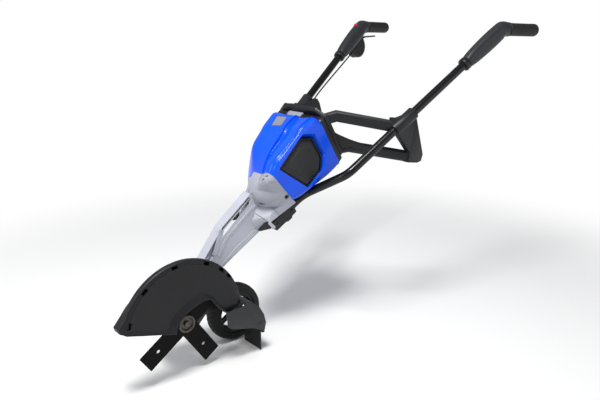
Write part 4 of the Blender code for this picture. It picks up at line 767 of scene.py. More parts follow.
TYRE = Finish("tyre_rubber_black", "tyre_rubber", (0.0060, 0.0060, 0.0064), 0.66, Grain.SOFT, 0.0008,
              0.00005, drift=0.12, dust=0.05, level=0.30)
STEEL = Finish("bright_steel_turned", "bright_steel", (0.50, 0.50, 0.51), 0.30, Grain.TURNED, 0.0008,
               0.00003, metal=1.0, drift=0.04)
DARK_STEEL = Finish("dark_steel_screw", "bright_steel", (0.030, 0.030, 0.032), 0.38, Grain.PAINT, 0.0010,
                    0.00002, metal=0.6, drift=0.06)
CUP = Finish("cup_dark_steel", "bright_steel", (0.075, 0.066, 0.060), 0.36, Grain.TURNED, 0.0012, 0.00002,
             metal=0.55, drift=0.10)
GREY = Finish("grey_moulding", "grey_plastic", (0.265, 0.280, 0.325), 0.46, Grain.MOULDED, 0.0006, 0.00004,
              drift=0.05, level=0.35)
GREY_BUTTON = Finish("grey_button", "grey_plastic", (0.205, 0.212, 0.255), 0.46, Grain.MOULDED, 0.0006,
                     0.00004, drift=0.05, level=0.35)
GREY_DARK = Finish("grey_moulding_dark", "grey_plastic", (0.060, 0.064, 0.085), 0.50, Grain.MOULDED, 0.0006,
                   0.00004, drift=0.06, level=0.35)
RED = Finish("red_button_gloss", "red_plastic", (0.42, 0.006, 0.012), 0.30, Grain.GLOSS, 0.0014, 0.00002,
             coat=0.2, drift=0.04, level=0.35)
BATTERY_BLACK = Finish("battery_olive_black", "battery_plastic", (0.0150, 0.0152, 0.0165), 0.40,
                       Grain.MOULDED, 0.0007, 0.00005, drift=0.08, level=0.34)
COPPER = Finish("copper_wire", "copper", (0.62, 0.24, 0.11), 0.34, Grain.BRUSHED, 0.0005, 0.00006,
                metal=1.0, drift=0.08, stretch=(1.0, 0.15, 0.15))
BRASS = Finish("brass_turned", "brass", (0.55, 0.40, 0.16), 0.30, Grain.TURNED, 0.0007, 0.00003, metal=1.0,
               drift=0.05)


def beside(points: Array, side: int) -> Array:
    """Places points given from the hub's height and the middle plane on one side of the machine."""
    return np.asarray(points, float) * (side, 1.0, 1.0) + np.array((0.0, HUB[1], HUB[2]))


def soft_corners(outline: Pairs | Array, radius: float, steps: int) -> Array:
    """A closed outline with each corner drawn round by a quadratic curve that starts a radius away.

    Args:
        outline: corner points in order.
        radius: how far from the corner its curve begins.
        steps: points on each corner.

    Returns:
        The rounded outline.
    """
    corners = np.asarray(outline, float)
    back, ahead = np.roll(corners, 1, axis=0) - corners, np.roll(corners, -1, axis=0) - corners
    runs = np.minimum(np.linalg.norm(back, axis=1), np.linalg.norm(ahead, axis=1))
    reach = np.minimum(radius, 0.48 * runs)
    first, last = corners + unit(back) * reach[:, None], corners + unit(ahead) * reach[:, None]
    t = np.linspace(0, 1, steps)[None, :, None]
    return quadratic(first[:, None], corners[:, None], last[:, None], t).reshape(-1, 2)


def slab(name: str, outline: Pairs | Array, low: float, high: float, place: Callable[..., Array]) -> Piece:
    """A flat outline drawn out along x from low to high, in the frame that place gives.

    Args:
        name: the piece's name.
        outline: the outline's points.
        low: the x it starts at.
        high: the x it ends at.
        place: turns an x and the outline's two coordinates into points of the world.

    Returns:
        The new piece.
    """
    flat = np.asarray(outline, float)
    grid = np.stack([place(x, flat[:, 0], flat[:, 1]) for x in (low, high)])
    return Piece.grid(name, grid)


def plate(name: str, ring: Array, span: tuple[float, float], edge: float) -> Piece:
    """An outline in the drive line's frame drawn out along x over a span, its edges rounded."""
    return slab(name, ring, *span, drive_point).rounded(edge, 3)


def circle(radius: float, steps: int) -> Array:
    """A round section of (side, up) points."""
    turn = round_turn(steps)
    return np.stack((radius * np.cos(turn), radius * np.sin(turn)), axis=1)


def finished(nodes: Iterable[str], finish: Finish, body: str, width: float, degrees: float = 32.0) -> None:
    """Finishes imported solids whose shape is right: merged, with rounded edges, in one finish."""
    for node in nodes:
        Piece.copy_of(node).rounded(width, 2, degrees).done(finish, body, node)


class SubAssembly(ABC):
    """A group of pieces that belong together on the machine."""

    @abstractmethod
    def build(self) -> None:
        """Builds, dresses and mounts the group's pieces."""


@dataclass
class Blades(SubAssembly):
    """The crossed cutting bars with the cup, the bolt and the spindle behind them."""

    reach: float = 0.127
    width: float = 0.045
    thickness: float = 0.004
    angle: float = math.radians(34.0)
    hole: float = 0.0045
    hole_reach: float = 0.0865
    corner: float = 0.0015
    edge: float = 0.0006
    cup_radius: float = 0.0215

    def build(self) -> None:
        """Two bars, the cup, its bolt, and the turned pieces behind."""
        self.bar("blade_bar_front", 0.0, self.angle)
        self.bar("blade_bar_rear", -self.thickness - GAP, self.angle + math.pi / 2)
        self.cup()
        finished(("blade_flange", "blade_spindle", "bevel_gear"), STEEL, "cutter", 0.0003)
        finished(("blade_bolt",), CUP, "cutter", 0.0006)

    def bar(self, node: str, near: float, angle: float) -> None:
        """A flat bar with ground ends and a hole near each end.

        Args:
            node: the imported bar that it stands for.
            near: its near face's x from the hub.
            angle: its turn round the hub.
        """
        a, b = self.reach, self.width / 2
        outline = soft_corners(((-a, -b), (a, -b), (a, b), (-a, b)), self.corner, 3)
        turn = np.array(((math.cos(angle), -math.sin(angle)), (math.sin(angle), math.cos(angle))))
        piece = slab(node + "_finished", outline @ turn.T, near - self.thickness, near, hub_point)
        for reach in (-self.hole_reach, self.hole_reach):
            spot = turn @ np.array((reach, 0.0))
            start = hub_point(near - self.thickness - 0.002, *spot)
            piece.cut(peg(start, ACROSS, self.hole, (0.0, 0.01), 32))
        piece.rounded(self.edge).done(BLADE, "cutter", node)

    def cup(self) -> None:
        """The dished cup with a rolled rim over the bars."""
        r = self.cup_radius
        profile = ((GAP, 0.0046), (GAP, r - 0.0008), (0.0012, r), (0.0072, r), (0.0088, r - 0.0006),
                   (0.0098, r - 0.0021), (0.0100, r - 0.0036), (0.0096, r - 0.0052), (0.0082, r - 0.0062),
                   (0.0052, r - 0.0074), (0.0042, r - 0.0090), (0.0041, 0.0100), (0.0044, 0.0085),
                   (0.0041, 0.0046))
        cup = Piece.turned("blade_cup_finished", profile, HUB, ACROSS, 64)
        cup.sharp(60).done(CUP, "cutter", "blade_cup")


def along_line(knots: Pairs | Array, count: int) -> Array:
    """Points at even steps along a line of straight runs.

    Args:
        knots: the line's corners.
        count: how many points are wanted.

    Returns:
        The points.
    """
    knots = np.asarray(knots, float)
    spots = run_lengths(knots)
    wanted = np.linspace(0, spots[-1], count)
    return np.stack([np.interp(wanted, spots, knots[:, axis]) for axis in range(knots.shape[1])], axis=1)


def reach_to_line(points: Array, line: Array) -> Array:
    """The distance from each point to the nearest point of a line of straight runs.

    Formula: the point is projected on each run, held between its ends, and the least distance is kept.

    Args:
        points: the points, along any axes before the last.
        line: the line's corners.

    Returns:
        One distance for each point.
    """
    start, run = line[:-1], np.diff(line, axis=0)
    offset = points[..., None, :] - start
    share = np.clip(np.sum(offset * run, axis=-1) / np.sum(run * run, axis=-1), 0, 1)
    return np.min(np.linalg.norm(offset - share[..., None] * run, axis=-1), axis=-1)


@dataclass
class Guard(SubAssembly):
    """The blade guard: back shell, side plate with its cowl and clip slots, hood and flap."""

    near: float = 0.022
    far: float = -0.0135
    radius: float = 0.1555
    centre_y: float = -0.005
    wall: float = 0.003
    shoulder: float = 0.012
    plate: float = 0.0088
    seat: float = 0.0155
    roll: float = 0.0052
    band: float = 0.0125
    cowl: float = 0.0165
    arch: Pairs = ((-0.036, -0.010), (-0.030, 0.010), (-0.0145, 0.026), (0.003, 0.0375), (0.030, 0.0475),
                   (0.046, 0.0500), (0.058, 0.0470), (0.0705, 0.031), (0.093, 0.0065))
    slots: Pairs = ((-0.1422, 0.0420), (-0.1009, 0.1092), (-0.0262, 0.1450), (0.0555, 0.1345),
                    (0.0960, 0.1090), (0.1165, 0.0880))
    slot_half: tuple[float, float] = (0.0078, 0.0042)
    edge_angles: tuple[float, float] = (4.0, 156.0)
    nose: Pairs = ((-0.1665, 0.0395), (-0.1640, 0.0300))
    lip: tuple[float, float] = (-0.150, 0.0235)
    foot: tuple[float, float] = (0.110, -0.004)
    screw: Triple = (-0.0006, -0.0175, 0.0290)

    def build(self) -> None:
        """The shell and its side plate with their slots, then the backing, the hood and the flap."""
        shell, face = self.shell(), self.side_plate()
        for place in self.slots:
            shell.cut(self.slot(place))
            face.cut(self.slot(place))
        shell.sharp(38).done(GUARD_BLACK, "machine", "guard_cover")
        face.sharp(30).done(GUARD_BLACK, "machine")
        finished(("guard_backing",), CHARCOAL_SATIN, "machine", 0.0012)
        # The hood wears the handles' lighter copy of the moulding, painted light.
        finished(("rear_deflector",), HANDLE_PAINTED_LIGHT, "machine", 0.0022)
        finished(("debris_flap",), RUBBER, "machine", 0.0007)
        self.hood_screw()

    def outline(self, drop: float, steps: int = 72) -> Array:
        """The guard's upper edge from its rear foot to its nose.

        Args:
            drop: how far it is drawn in, which fades at the nose.
            steps: points on its arc.

        Returns:
            Points of (y, z) from the hub.
        """
        angle = np.linspace(*self.edge_angles, steps)
        fade = smooth((160.0 - angle) / 26.0)
        radius = self.radius - drop * fade
        turn = np.radians(angle)
        arc = np.stack((self.centre_y + radius * np.cos(turn), radius * np.sin(turn)), axis=1)
        return np.concatenate((arc, self.nose))

    def lower(self) -> Array:
        """The guard's lower edge from the nose over the arch to the rear foot, smoothed.

        Returns:
            Points of (y, z) from the hub.
        """
        knots = np.asarray(self.arch, float)
        spots = run_lengths(knots)
        fine = smooth_rows(spots, knots, np.linspace(0, spots[-1], 60))
        return np.concatenate(((self.lip,), fine, (self.foot,)))

    def shell(self) -> Piece:
        """The back shell, open below and behind, its edge rolled over towards the side plate.

        Returns:
            The shell, still without its slots.
        """
        low = self.lower()
        near = self.near - self.seat
        stations = ((self.far, self.shoulder), (near - 0.010, 0.0012), (near - 0.003, 0.0004),
                    (near, 0.0003))
        rings = [hub_point(x, *np.concatenate((self.outline(drop), low)).T) for x, drop in stations]
        shell = Piece.grid("guard_cover_finished", np.array(rings))
        hollow, below = [], ((-0.16, -0.05), (0.16, -0.05))
        inside = ((self.far - 0.01, self.shoulder), (self.far, self.shoulder), (near - 0.010, 0.001),
                  (near - self.wall, 0.002))
        for x, drop in inside:
            top = self.outline(drop + self.wall, 40)
            top[-2:, 0] += self.wall
            hollow.append(hub_point(x, *np.concatenate((top, below)).T))
        return shell.cut(Piece.grid("guard_hollow", np.array(hollow)))

    def relief(self, spots: Array, top: Array, low: Array) -> Array:
        """How far the side plate's face lies behind the cowl's crest.

        Formula: a quarter circle over the roll at the edge, a slanted band with a raised line at its
        inner side, a plain part with a slight crown, and a ramp up to the crest round the arch whose
        width narrows towards the rear; a low lip runs along the bottom edge, and the last 1.2 mm
        before the arch and the bottom fall away.

        Args:
            spots: points of the face in (y, z) from the hub.
            top: the upper edge.
            low: the lower edge.

        Returns:
            Depths, all zero or more.
        """
        slant, line, crown, narrowing, break_edge = 0.0016, 0.0008, 0.0010, 0.0105, 0.0009
        crest, lip_height = self.plate - 0.0006, 0.62
        edge = reach_to_line(spots, top)
        arch = reach_to_line(spots, low[1:-1])
        bottom = reach_to_line(spots, low[:3])
        turn = np.clip(1 - edge / self.roll, 0, 1)
        depth = self.plate + self.roll * (1 - np.sqrt(1 - 0.98 * turn ** 2))
        depth += slant * np.clip((self.band - edge) / (self.band - self.roll), 0, 1)
        depth -= line * np.exp(-((edge - self.band) / line) ** 2)
        depth -= crown * smooth((edge - self.band - 0.004) / 0.045)
        width = self.cowl - narrowing * smooth((spots[..., 0] - 0.030) / 0.035)
        ramp = np.clip(1 - (arch - 0.0022) / width, 0, 1)
        lip = lip_height * np.clip(1 - (bottom - 0.0015) / 0.0065, 0, 1)
        depth -= crest * np.maximum(ramp, lip)
        rim = np.clip(1 - np.minimum(arch, bottom) / 0.0012, 0, 1)
        return np.maximum(depth + break_edge * rim ** 2, 0)

    def side_plate(self) -> Piece:
        """The domed side plate with its relief, a closed slab over the back shell's edge.

        Returns:
            The plate, still without its slots.
        """
        rows = np.r_[np.linspace(0, 0.16, 26), np.linspace(0.17, 0.60, 16), np.linspace(0.62, 1, 40)]
        inset, tuck, count = 0.0004, 0.0016, 260
        top, low = self.outline(inset, 200), self.lower()
        upper, under = along_line(top, count), along_line(low[::-1], count)
        share = rows[:, None, None]
        spots = upper[None] * (1 - share) + under[None] * share
        depth = self.relief(spots, top, low)
        face = hub_point(self.near - depth, spots[..., 0], spots[..., 1])
        ends = spots[::rows.size - 1]
        back = hub_point(self.near - self.seat - tuck, ends[..., 0], ends[..., 1])
        grid = np.concatenate((back[:1], face, back[1:]))
        return Piece.grid("guard_side_plate", grid, wrap_rows=True, wrap_columns=False).close_ends()

    def slot(self, place: tuple[float, float]) -> Piece:
        """The tool for one clip slot, a block square to the guard's edge.

        Args:
            place: the slot's middle in (y, z) from the hub.

        Returns:
            The tool as a piece.
        """
        out = unit((place[0] - self.centre_y, place[1]))
        along = np.array((-out[1], out[0]))
        length, height = self.slot_half
        corners = [along * a * length + out * b * height for a, b in ((-1, -1), (1, -1), (1, 1), (-1, 1))]
        ring = soft_corners(np.array(corners) + place, 0.0012, 3)
        return slab("slot", ring, self.near - self.seat - self.wall - 0.004, self.near + 0.002, hub_point)

    def hood_screw(self) -> None:
        """The screw in the hood's side."""
        low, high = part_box("rear_deflector")
        spot = np.array((high.x, high.y, low.z)) + self.screw
        screw_head("hood_screw", spot, ACROSS, 0.0036, 0.0016).done(DARK_STEEL, "machine")


@dataclass
class Wheel(SubAssembly):
    """The rear wheel: treaded tyre, spoked rim, and the arm, pin and knob that set its height."""

    radius: float = 0.0752
    rim: float = 0.054
    shoulder: float = 0.003
    half: float = 0.022
    middle: float = -0.010
    groove: float = 0.0016
    slant: float = 2.2
    blocks: int = 36

    def build(self) -> None:
        """The tyre first, then everything round it."""
        self.tyre()
        finished(("wheel_rim",), CHARCOAL, "wheel", 0.0012)
        finished(("wheel_bush_far", "wheel_bush_near"), BRASS, "wheel", 0.0004)
        finished(("wheel_axle", "axle_cap"), STEEL, "depth_carrier", 0.0008)
        finished(("depth_arm",), TUBE, "depth_carrier", 0.0010)
        finished(("depth_pivot_pin",), STEEL, "machine", 0.0008)
        finished(("depth_knob",), CHARCOAL_SATIN, "depth_knob", 0.0008)

    def tyre(self) -> None:
        """A round-shouldered tyre whose tread is cut by slanted grooves.

        Formula: radius = rim + (crown - rim) * cos(a)^0.5 over the width; a groove of 1.6 mm runs where
        sin(blocks * turn +/- slant) falls below a threshold, faded out towards the shoulders, and a
        shallower one runs round the tread on each side of its middle.
        """
        low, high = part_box("wheel_tyre")
        centre = np.array((self.middle, (low.y + high.y) / 2, self.radius))
        across = np.linspace(-1, 1, 41)
        turn = round_turn(self.blocks * 12)
        a, t = np.meshgrid(across * math.pi / 2, turn, indexing="ij")
        rise = np.sqrt(np.maximum(np.cos(a), 0))
        crown = self.rim + self.shoulder + (self.radius - self.rim - self.shoulder) * rise
        out = np.abs(np.sin(a))
        wave = np.sin(self.blocks * t + self.slant * np.sign(a) * out * 2)
        groove = smooth((wave + 0.55) / -0.25) * smooth((0.93 - out) / 0.1) * smooth(out / 0.08 - 0.6)
        ring = smooth(1 - np.abs(out - 0.06) / 0.03) * 0.7
        reach = crown - self.groove * np.maximum(groove, ring)
        x = centre[0] + self.half * np.sin(a)
        surface = np.stack((x, centre[1] + reach * np.cos(t), centre[2] + reach * np.sin(t)), axis=-1)
        inner = self.rim + GAP
        bead = np.stack((np.broadcast_to(x[-1], turn.shape), centre[1] + inner * np.cos(turn),
                         centre[2] + inner * np.sin(turn)), axis=-1)
        other = bead.copy()
        other[:, 0] = x[0, 0]
        grid = np.concatenate((surface, bead[None], other[None]))
        Piece.grid("tyre_treaded", grid, wrap_rows=True).sharp(50).done(TYRE, "wheel", "wheel_tyre")


@dataclass
class Shell:
    """The skin shared by the bell and the housing, given by section shapes along the drive line.

    A shape holds the near side's x, the near top's n, the crease's x and n, the ridge's x and n, the far
    shoulder's x and n, the far side's x, the bottom's n, the near bottom edge's n, how far from the
    crease its rounding starts, and the depth of the step at the ridge's near side.
    """

    stations: tuple[float, ...]
    shapes: tuple[tuple[float, ...], ...]
    around: int = 10

    def ring(self, shape: tuple[float, ...]) -> Array:
        """One section as a closed curve of (x, n) points, tight where it turns over a crease.

        Args:
            shape: the section's numbers in the class's order.

        Returns:
            The curve's points.
        """
        near, near_top, far, low, near_low, crisp, fold = shape[:2] + shape[8:]
        crease, ridge, shoulder = np.array(shape[2:8]).reshape(3, 2)
        depth, top = shoulder[1] - low, np.array((near, near_top))
        step = ridge + (0.0016 + fold * 1.35, -fold)
        turns = [crease + unit(other - crease) * min(crisp, 0.42 * float(np.linalg.norm(other - crease)))
                 for other in (top, step)]
        turns += [step + unit(crease - step) * 0.0012, step, ridge, ridge + unit(shoulder - ridge) * 0.0012]
        front = (ridge + shoulder) / 2 + (0.0, 0.0010)
        controls = np.concatenate((
            ((near, (near_top + near_low) / 2), top), turns,
            (front, shoulder, (-far, shoulder[1] - depth * 0.32), (-far, low + depth * 0.26),
             (-far * 0.75, low + depth * 0.085), (-far * 0.30, low), (near * 0.35, low),
             (near * 0.80, near_low * 0.6 + low * 0.4 - 0.001), (near, near_low))))
        return closed_curve(controls, self.around)

    def rows(self, wanted: Array, inset: float = 0.0) -> Array:
        """Rings of (x, s, n) points at the wanted stations, drawn in by an inset square to the skin.

        Args:
            wanted: the stations along the drive line.
            inset: how far the rings are drawn in.

        Returns:
            One ring for each station.
        """
        rings = np.array([self.ring(shape) for shape in self.shapes])
        rows = smooth_rows(np.array(self.stations), rings, wanted)
        s = np.broadcast_to(wanted[:, None], rows.shape[:2])
        return np.stack((rows[..., 0], s, rows[..., 1]), axis=-1) + self.inwards(rows) * inset

    @staticmethod
    def inwards(rows: Array) -> Array:
        """The directions square to each section's curve, into the body, as (x, s, n).

        Args:
            rows: rings of (x, n) points.

        Returns:
            One direction for each point.
        """
        along = np.roll(rows, -1, axis=1) - np.roll(rows, 1, axis=1)
        flat = unit(np.stack((-along[..., 1], along[..., 0]), axis=-1))
        return np.stack((flat[..., 0], np.zeros(flat.shape[:2]), flat[..., 1]), axis=-1)


BELL_START, BELL_MOUTH, REAR_START = 0.3388, 0.390, 0.554
REAR_BLEND, REAR_SLOPE, REAR_LOW_N = 0.520, 0.172, -0.074
MOUTH = (0.0915, 0.066, 0.078, 0.0845, 0.043, 0.0700, -0.046, 0.0310, 0.072, -0.0465, -0.014, 0.008, 0.0)
BELL = Shell(
    (BELL_START, BELL_START + 0.014, BELL_START + 0.032, BELL_MOUTH),
    ((0.036, 0.024, 0.026, 0.046, 0.0143, 0.0460, -0.024, 0.0275, 0.041, -0.0385, -0.026, 0.010, 0.0),
     (0.058, 0.036, 0.048, 0.060, 0.0264, 0.0530, -0.028, 0.0270, 0.046, -0.0405, -0.018, 0.010, 0.0),
     (0.083, 0.058, 0.072, 0.079, 0.0396, 0.0640, -0.034, 0.0290, 0.056, -0.0430, -0.012, 0.010, 0.0),
     MOUTH))
HOUSING = Shell(
    (BELL_MOUTH + GAP, 0.415, 0.455, 0.505, 0.535, 0.5485, REAR_START),
    (MOUTH,
     (0.0925, 0.078, 0.0800, 0.0945, 0.0380, 0.0790, -0.050, 0.0475, 0.085, -0.0510, -0.026, 0.008, 0.0),
     (0.093, 0.080, 0.0845, 0.0945, 0.0330, 0.0870, -0.062, 0.0705, 0.093, -0.0590, -0.038, 0.0055, 0.0024),
     (0.093, 0.082, 0.0860, 0.0955, 0.0260, 0.0880, -0.070, 0.0770, 0.096, -0.067, -0.054, 0.0035, 0.0050),
     (0.093, 0.081, 0.0830, 0.0960, 0.0180, 0.0870, -0.075, 0.0785, 0.096, -0.071, -0.060, 0.0035, 0.0052),
     (0.093, 0.071, 0.0850, 0.0835, 0.0120, 0.0770, -0.079, 0.0742, 0.096, -0.073, -0.062, 0.0035, 0.0042),
     (0.093, 0.052, 0.087, 0.066, 0.0080, 0.0690, -0.081, 0.0655, 0.096, -0.074, -0.064, 0.0035, 0.0032)))
BATTERY: Pairs = ((0.4155, 0.0700), (0.5060, 0.0750), (0.5320, 0.0480), (0.5240, -0.0090),
                  (0.5000, -0.0320), (0.4475, -0.0320))
OPENING: Pairs = ((0.4112, 0.0752), (0.5185, 0.0845), (0.5460, 0.0560), (0.5375, -0.0135),
                  (0.5080, -0.0375), (0.4425, -0.0360))


def grow(outline: Pairs | Array, distance: float) -> Array:
    """A convex outline with every edge moved outwards by a distance.

    Args:
        outline: the corners in order.
        distance: how far the edges move.

    Returns:
        The new corners.
    """
    corners = np.asarray(outline, float)
    ahead = unit(np.roll(corners, -1, axis=0) - corners)
    back = unit(corners - np.roll(corners, 1, axis=0))
    area = np.sum(corners[:, 0] * np.roll(corners[:, 1], -1) - np.roll(corners[:, 0], -1) * corners[:, 1])
    turn = math.copysign(1.0, float(area))
    first = np.stack((back[:, 1], -back[:, 0]), axis=1) * turn
    second = np.stack((ahead[:, 1], -ahead[:, 0]), axis=1) * turn
    middle = unit(first + second)
    return corners + middle * (distance / np.sum(middle * first, axis=1))[:, None]


def rear_plane(rows: Array) -> Array:
    """A skin's last stretch drawn back so that its end lies on the slanted rear plane.

    Args:
        rows: rings of (x, s, n) points.

    Returns:
        The rings after the move.
    """
    rows = rows.copy()
    share = smooth((rows[:, :, 1] - REAR_BLEND) / (REAR_START - REAR_BLEND))
    rows[:, :, 1] += share * REAR_SLOPE * (rows[:, :, 2] - REAR_LOW_N)
    return rows


@dataclass
class MotorHousing(SubAssembly):
    """The cast bell, the blue shell with its battery bay, the rear cover, button and latch."""

    wall: float = 0.003
    near: float = 0.093
    step: float = 0.0016
    band: Pairs = ((-0.050, 0.3840), (-0.030, 0.3740), (0.0024, 0.3700), (0.033, 0.3640), (0.065, 0.3615),
                   (0.079, 0.3680), (0.088, 0.3790), (0.0915, 0.3870))
    band_side: float = 0.3868
    can_slot: Pairs = ((0.3285, 0.0235), (0.3320, 0.0265), (0.3420, 0.0150), (0.3385, 0.0115))
    key: Pairs = ((-0.0450, 0.5590), (-0.0072, 0.5605), (0.0036, 0.5272), (-0.0340, 0.5240))
    band_slots: tuple[tuple[float, float, float, float], ...] = (
        (0.0690, 0.3730, 0.0770, 0.6), (0.0760, 0.3825, 0.0800, 0.6))
    shadow: float = 0.0011
    lip: float = 0.0008
    bolt: Triple = (0.0890, 0.3835, 0.0010)
    bolt_recess: float = 0.0062
    light: Triple = (0.0004, 0.5085, 0.0360)
    pack_face: float = 0.0895

    def build(self) -> None:
        """Skins first, then what sits in them."""
        self.bell()
        self.shell()
        self.rear()
        self.battery()
        self.button()
        self.latch()
        self.inside()

    def bell(self) -> None:
        """The bell's casting: a stepped flange band at its mouth, and the round motor can in its side.

        Formula of the band: above a station that depends on x the skin stands out by the step, and in
        the last 1.6 mm it drops back to leave a shadow line under the blue shell.
        """
        s = np.linspace(BELL_START, BELL_MOUTH, 110)
        rows = BELL.rows(s)
        front = smooth((rows[..., 2] - 0.020) / 0.015)
        start = np.interp(rows[..., 0], *np.array(self.band).T)
        start = self.band_side + (start - self.band_side) * front
        inset = self.step * (1 - smooth((rows[..., 1] - start) / 0.0012))
        inset *= smooth((s - BELL_START) / 0.02)[:, None]
        inset += self.shadow * smooth((s - BELL_MOUTH + 0.0016) / 0.0005)[:, None]
        rows = rows + Shell.inwards(rows[..., ::2]) * inset[..., None]
        bell = Piece.grid("motor_bell_finished", drive_point(*np.moveaxis(rows, -1, 0)))
        for slot in self.band_slots:
            bell.cut(self.pocket(*slot))
        bolt = drive_point(*self.bolt)
        bell.cut(peg(bolt, ACROSS, self.bolt_recess, (-0.004, 0.02), 24))
        screw_head("bell_bolt", bolt - (0.0035, 0, 0), ACROSS, 0.0040, 0.0028).done(DARK_STEEL, "machine")
        # The bell wears the darker copy of the cast paint, painted shade.
        bell.sharp(34).done(CASTING_PAINTED_SHADE, "machine", "motor_bell")
        self.can()

    def pocket(self, x: float, s: float, n: float, turn: float) -> Piece:
        """The tool for a small slot in the band, a flat block turned in the band's face.

        Args:
            x: the slot's middle across.
            s: its middle along the drive line.
            n: its height square to the line.
            turn: its turn in radians.

        Returns:
            The tool as a piece.
        """
        length, width, depth = 0.0042, 0.0017, 0.005
        c, d = math.cos(turn), math.sin(turn)
        block = ((-length, -width), (length, -width), (length, width), (-length, width))
        a, b = soft_corners(block, 0.0012, 3).T
        grid = [drive_point(x + a * c - b * d, s + a * d + b * c, n + rise) for rise in (-depth, 0.010)]
        return Piece.grid("pocket", np.array(grid))

    def can(self) -> None:
        """The round motor can that bulges out of the bell's near side.

        Formula: x = foot + rise * (1 - r^2)^0.54 over the disc r < 1, r taken from s and n, with n
        squeezed a little more above the middle than below; the disc's rim runs back into the casting.
        """
        centre_s, centre_n, radius, foot, rise = 0.3970, 0.0165, 0.0650, 0.0290, 0.0600
        r = np.sin(np.linspace(0, math.pi / 2, 40))[:, None]
        turn = round_turn(96)[None]
        squeeze = np.where(np.sin(turn) < 0, 0.86, 0.84)
        s = centre_s + radius * r * np.cos(turn)
        n = centre_n + radius * r * np.sin(turn) * squeeze
        keep = np.minimum(s, BELL_MOUTH - 0.002)
        dome = drive_point(foot + rise * (1 - r ** 2) ** 0.54, keep, n)
        back = drive_point(0.012, keep[-1:], n[-1:])
        can = Piece.grid("motor_can", np.concatenate((dome, back)))
        can.cut(slab("slot", soft_corners(self.can_slot, 0.0015, 3), 0.0400, 0.0700, drive_point))
        # The can wears the same darker copy of the cast paint, painted shade.
        can.sharp(50).done(CASTING_PAINTED_SHADE, "machine")

    def shell(self) -> None:
        """The blue skin, rolled in at its mouth, with the bay and the button's hole cut out."""
        s = np.concatenate((np.linspace(BELL_MOUTH + GAP, 0.394, 5), np.linspace(0.397, REAR_START, 64)))
        rows = rear_plane(HOUSING.rows(s))
        rolled = 1 - smooth((s - BELL_MOUTH - GAP) / 0.0022)
        outer = rows + Shell.inwards(rows[..., ::2]) * (rolled * self.lip)[:, None, None]
        inner = rear_plane(HOUSING.rows(s, self.wall))
        rows = np.concatenate((outer, inner[::-1]))
        skin = Piece.grid("motor_cover_finished", drive_point(*np.moveaxis(rows, -1, 0)), wrap_rows=True)
        opening = soft_corners(OPENING, 0.006, 8)
        skin.cut(slab("bay", opening, self.near - 0.045, self.near + 0.02, drive_point))
        hole = soft_corners(grow(self.key, 0.0004), 0.003, 5)
        grid = np.stack([drive_point(*hole.T, n) for n in (0.050, 0.110)])
        skin.cut(Piece.grid("hole", grid))
        skin.sharp(40).done(BLUE, "machine", "motor_cover")
        self.bay_wall(opening)

    def bay_wall(self, opening: Array) -> None:
        """The bay's slanted wall, from a rolled edge at the skin down to the pack's outline.

        Formula: rings that slide from the opening's outline to the pack's by a share, at a depth below
        the skin that grows slowly at the edge and then evenly; the last ones come back outside, by the
        wall's thickness, as its rear face.

        Args:
            opening: the hole in the skin, as (s, n) points.
        """
        inner, wall, rings = soft_corners(grow(BATTERY, 0.0016), 0.006, 8), 0.0022, []
        for share, depth, behind in (
                (-0.06, 0.0012, 0.0), (-0.03, 0.0002, 0.0), (0.0, -0.0002, 0.0), (0.06, 0.0008, 0.0),
                (0.14, 0.0030, 0.0), (1.0, 0.0170, 0.0), (1.0, 0.0260, 0.0), (1.0, 0.0260, 1.0),
                (0.3, 0.0080, 1.0), (0.0, 0.0040, 1.0)):
            ring = opening + (inner - opening) * share
            ring = ring + unit(ring - ring.mean(axis=0)) * wall * behind
            rings.append(drive_point(self.near - depth, *ring.T))
        Piece.grid("battery_bay_wall", np.array(rings), wrap_rows=True).sharp(50).done(BLUE, "machine")

    def front_height(self, spots: Array) -> Array:
        """The skin's n over (x, s) spots of its front, weighted from the nearest points of the skin.

        Args:
            spots: the (x, s) points.

        Returns:
            One height for each spot.
        """
        rows = rear_plane(HOUSING.rows(np.linspace(0.490, REAR_START, 70))).reshape(-1, 3)
        front = rows[rows[:, 2] > 0.055]
        weight = 1 / (np.linalg.norm(spots[:, None] - front[None, :, :2], axis=-1) + 0.0008) ** 4
        return np.sum(weight * front[:, 2], axis=1) / np.sum(weight, axis=1)

    def on_front(self, ring: Array, rise: float) -> Array:
        """An (x, s) outline laid on the skin's front at a rise."""
        return drive_point(*ring.T, self.front_height(ring) + rise)

    def rear(self) -> None:
        """The dark cover that closes the shell's slanted rear."""
        finished(("rear_cover",), CHARCOAL_SATIN, "machine", 0.0015)

    def battery(self) -> None:
        """The pack with a wide chamfer round its face, a raised panel and a dark charge light."""
        face, rings = self.pack_face, []
        for shrink, depth in ((0.0015, 0.0500), (0.0, 0.0480), (0.0, 0.0042), (0.0008, 0.0030),
                              (0.0062, 0.0006), (0.0072, 0.0001), (0.0085, 0.0)):
            ring = soft_corners(grow(BATTERY, -shrink), 0.0075 - shrink * 0.3, 8)
            rings.append(drive_point(face - depth, *ring.T))
        pack = Piece.grid("battery_pack_finished", np.array(rings)).sharp(24)
        pack.done(BATTERY_BLACK, "battery", "battery_pack")
        ring = soft_corners(grow(BATTERY, -0.0125), 0.007, 7)
        plate("battery_panel", ring, (face - 0.001, face + 0.0009), 0.0008).done(BATTERY_BLACK, "battery")
        x, s, n = self.light
        profile = ((0.0, 0.0), (0.0, 0.0040), (0.0010, 0.0040), (0.0012, 0.0036), (0.0009, 0.0028),
                   (0.0008, 0.0))
        light = Piece.turned("battery_charge_light", profile, drive_point(face + x, s, n), ACROSS, 28)
        light.sharp(50).done(CHARCOAL_SATIN, "battery")
        finished(("battery_tray",), CHARCOAL_SATIN, "machine", 0.0006)

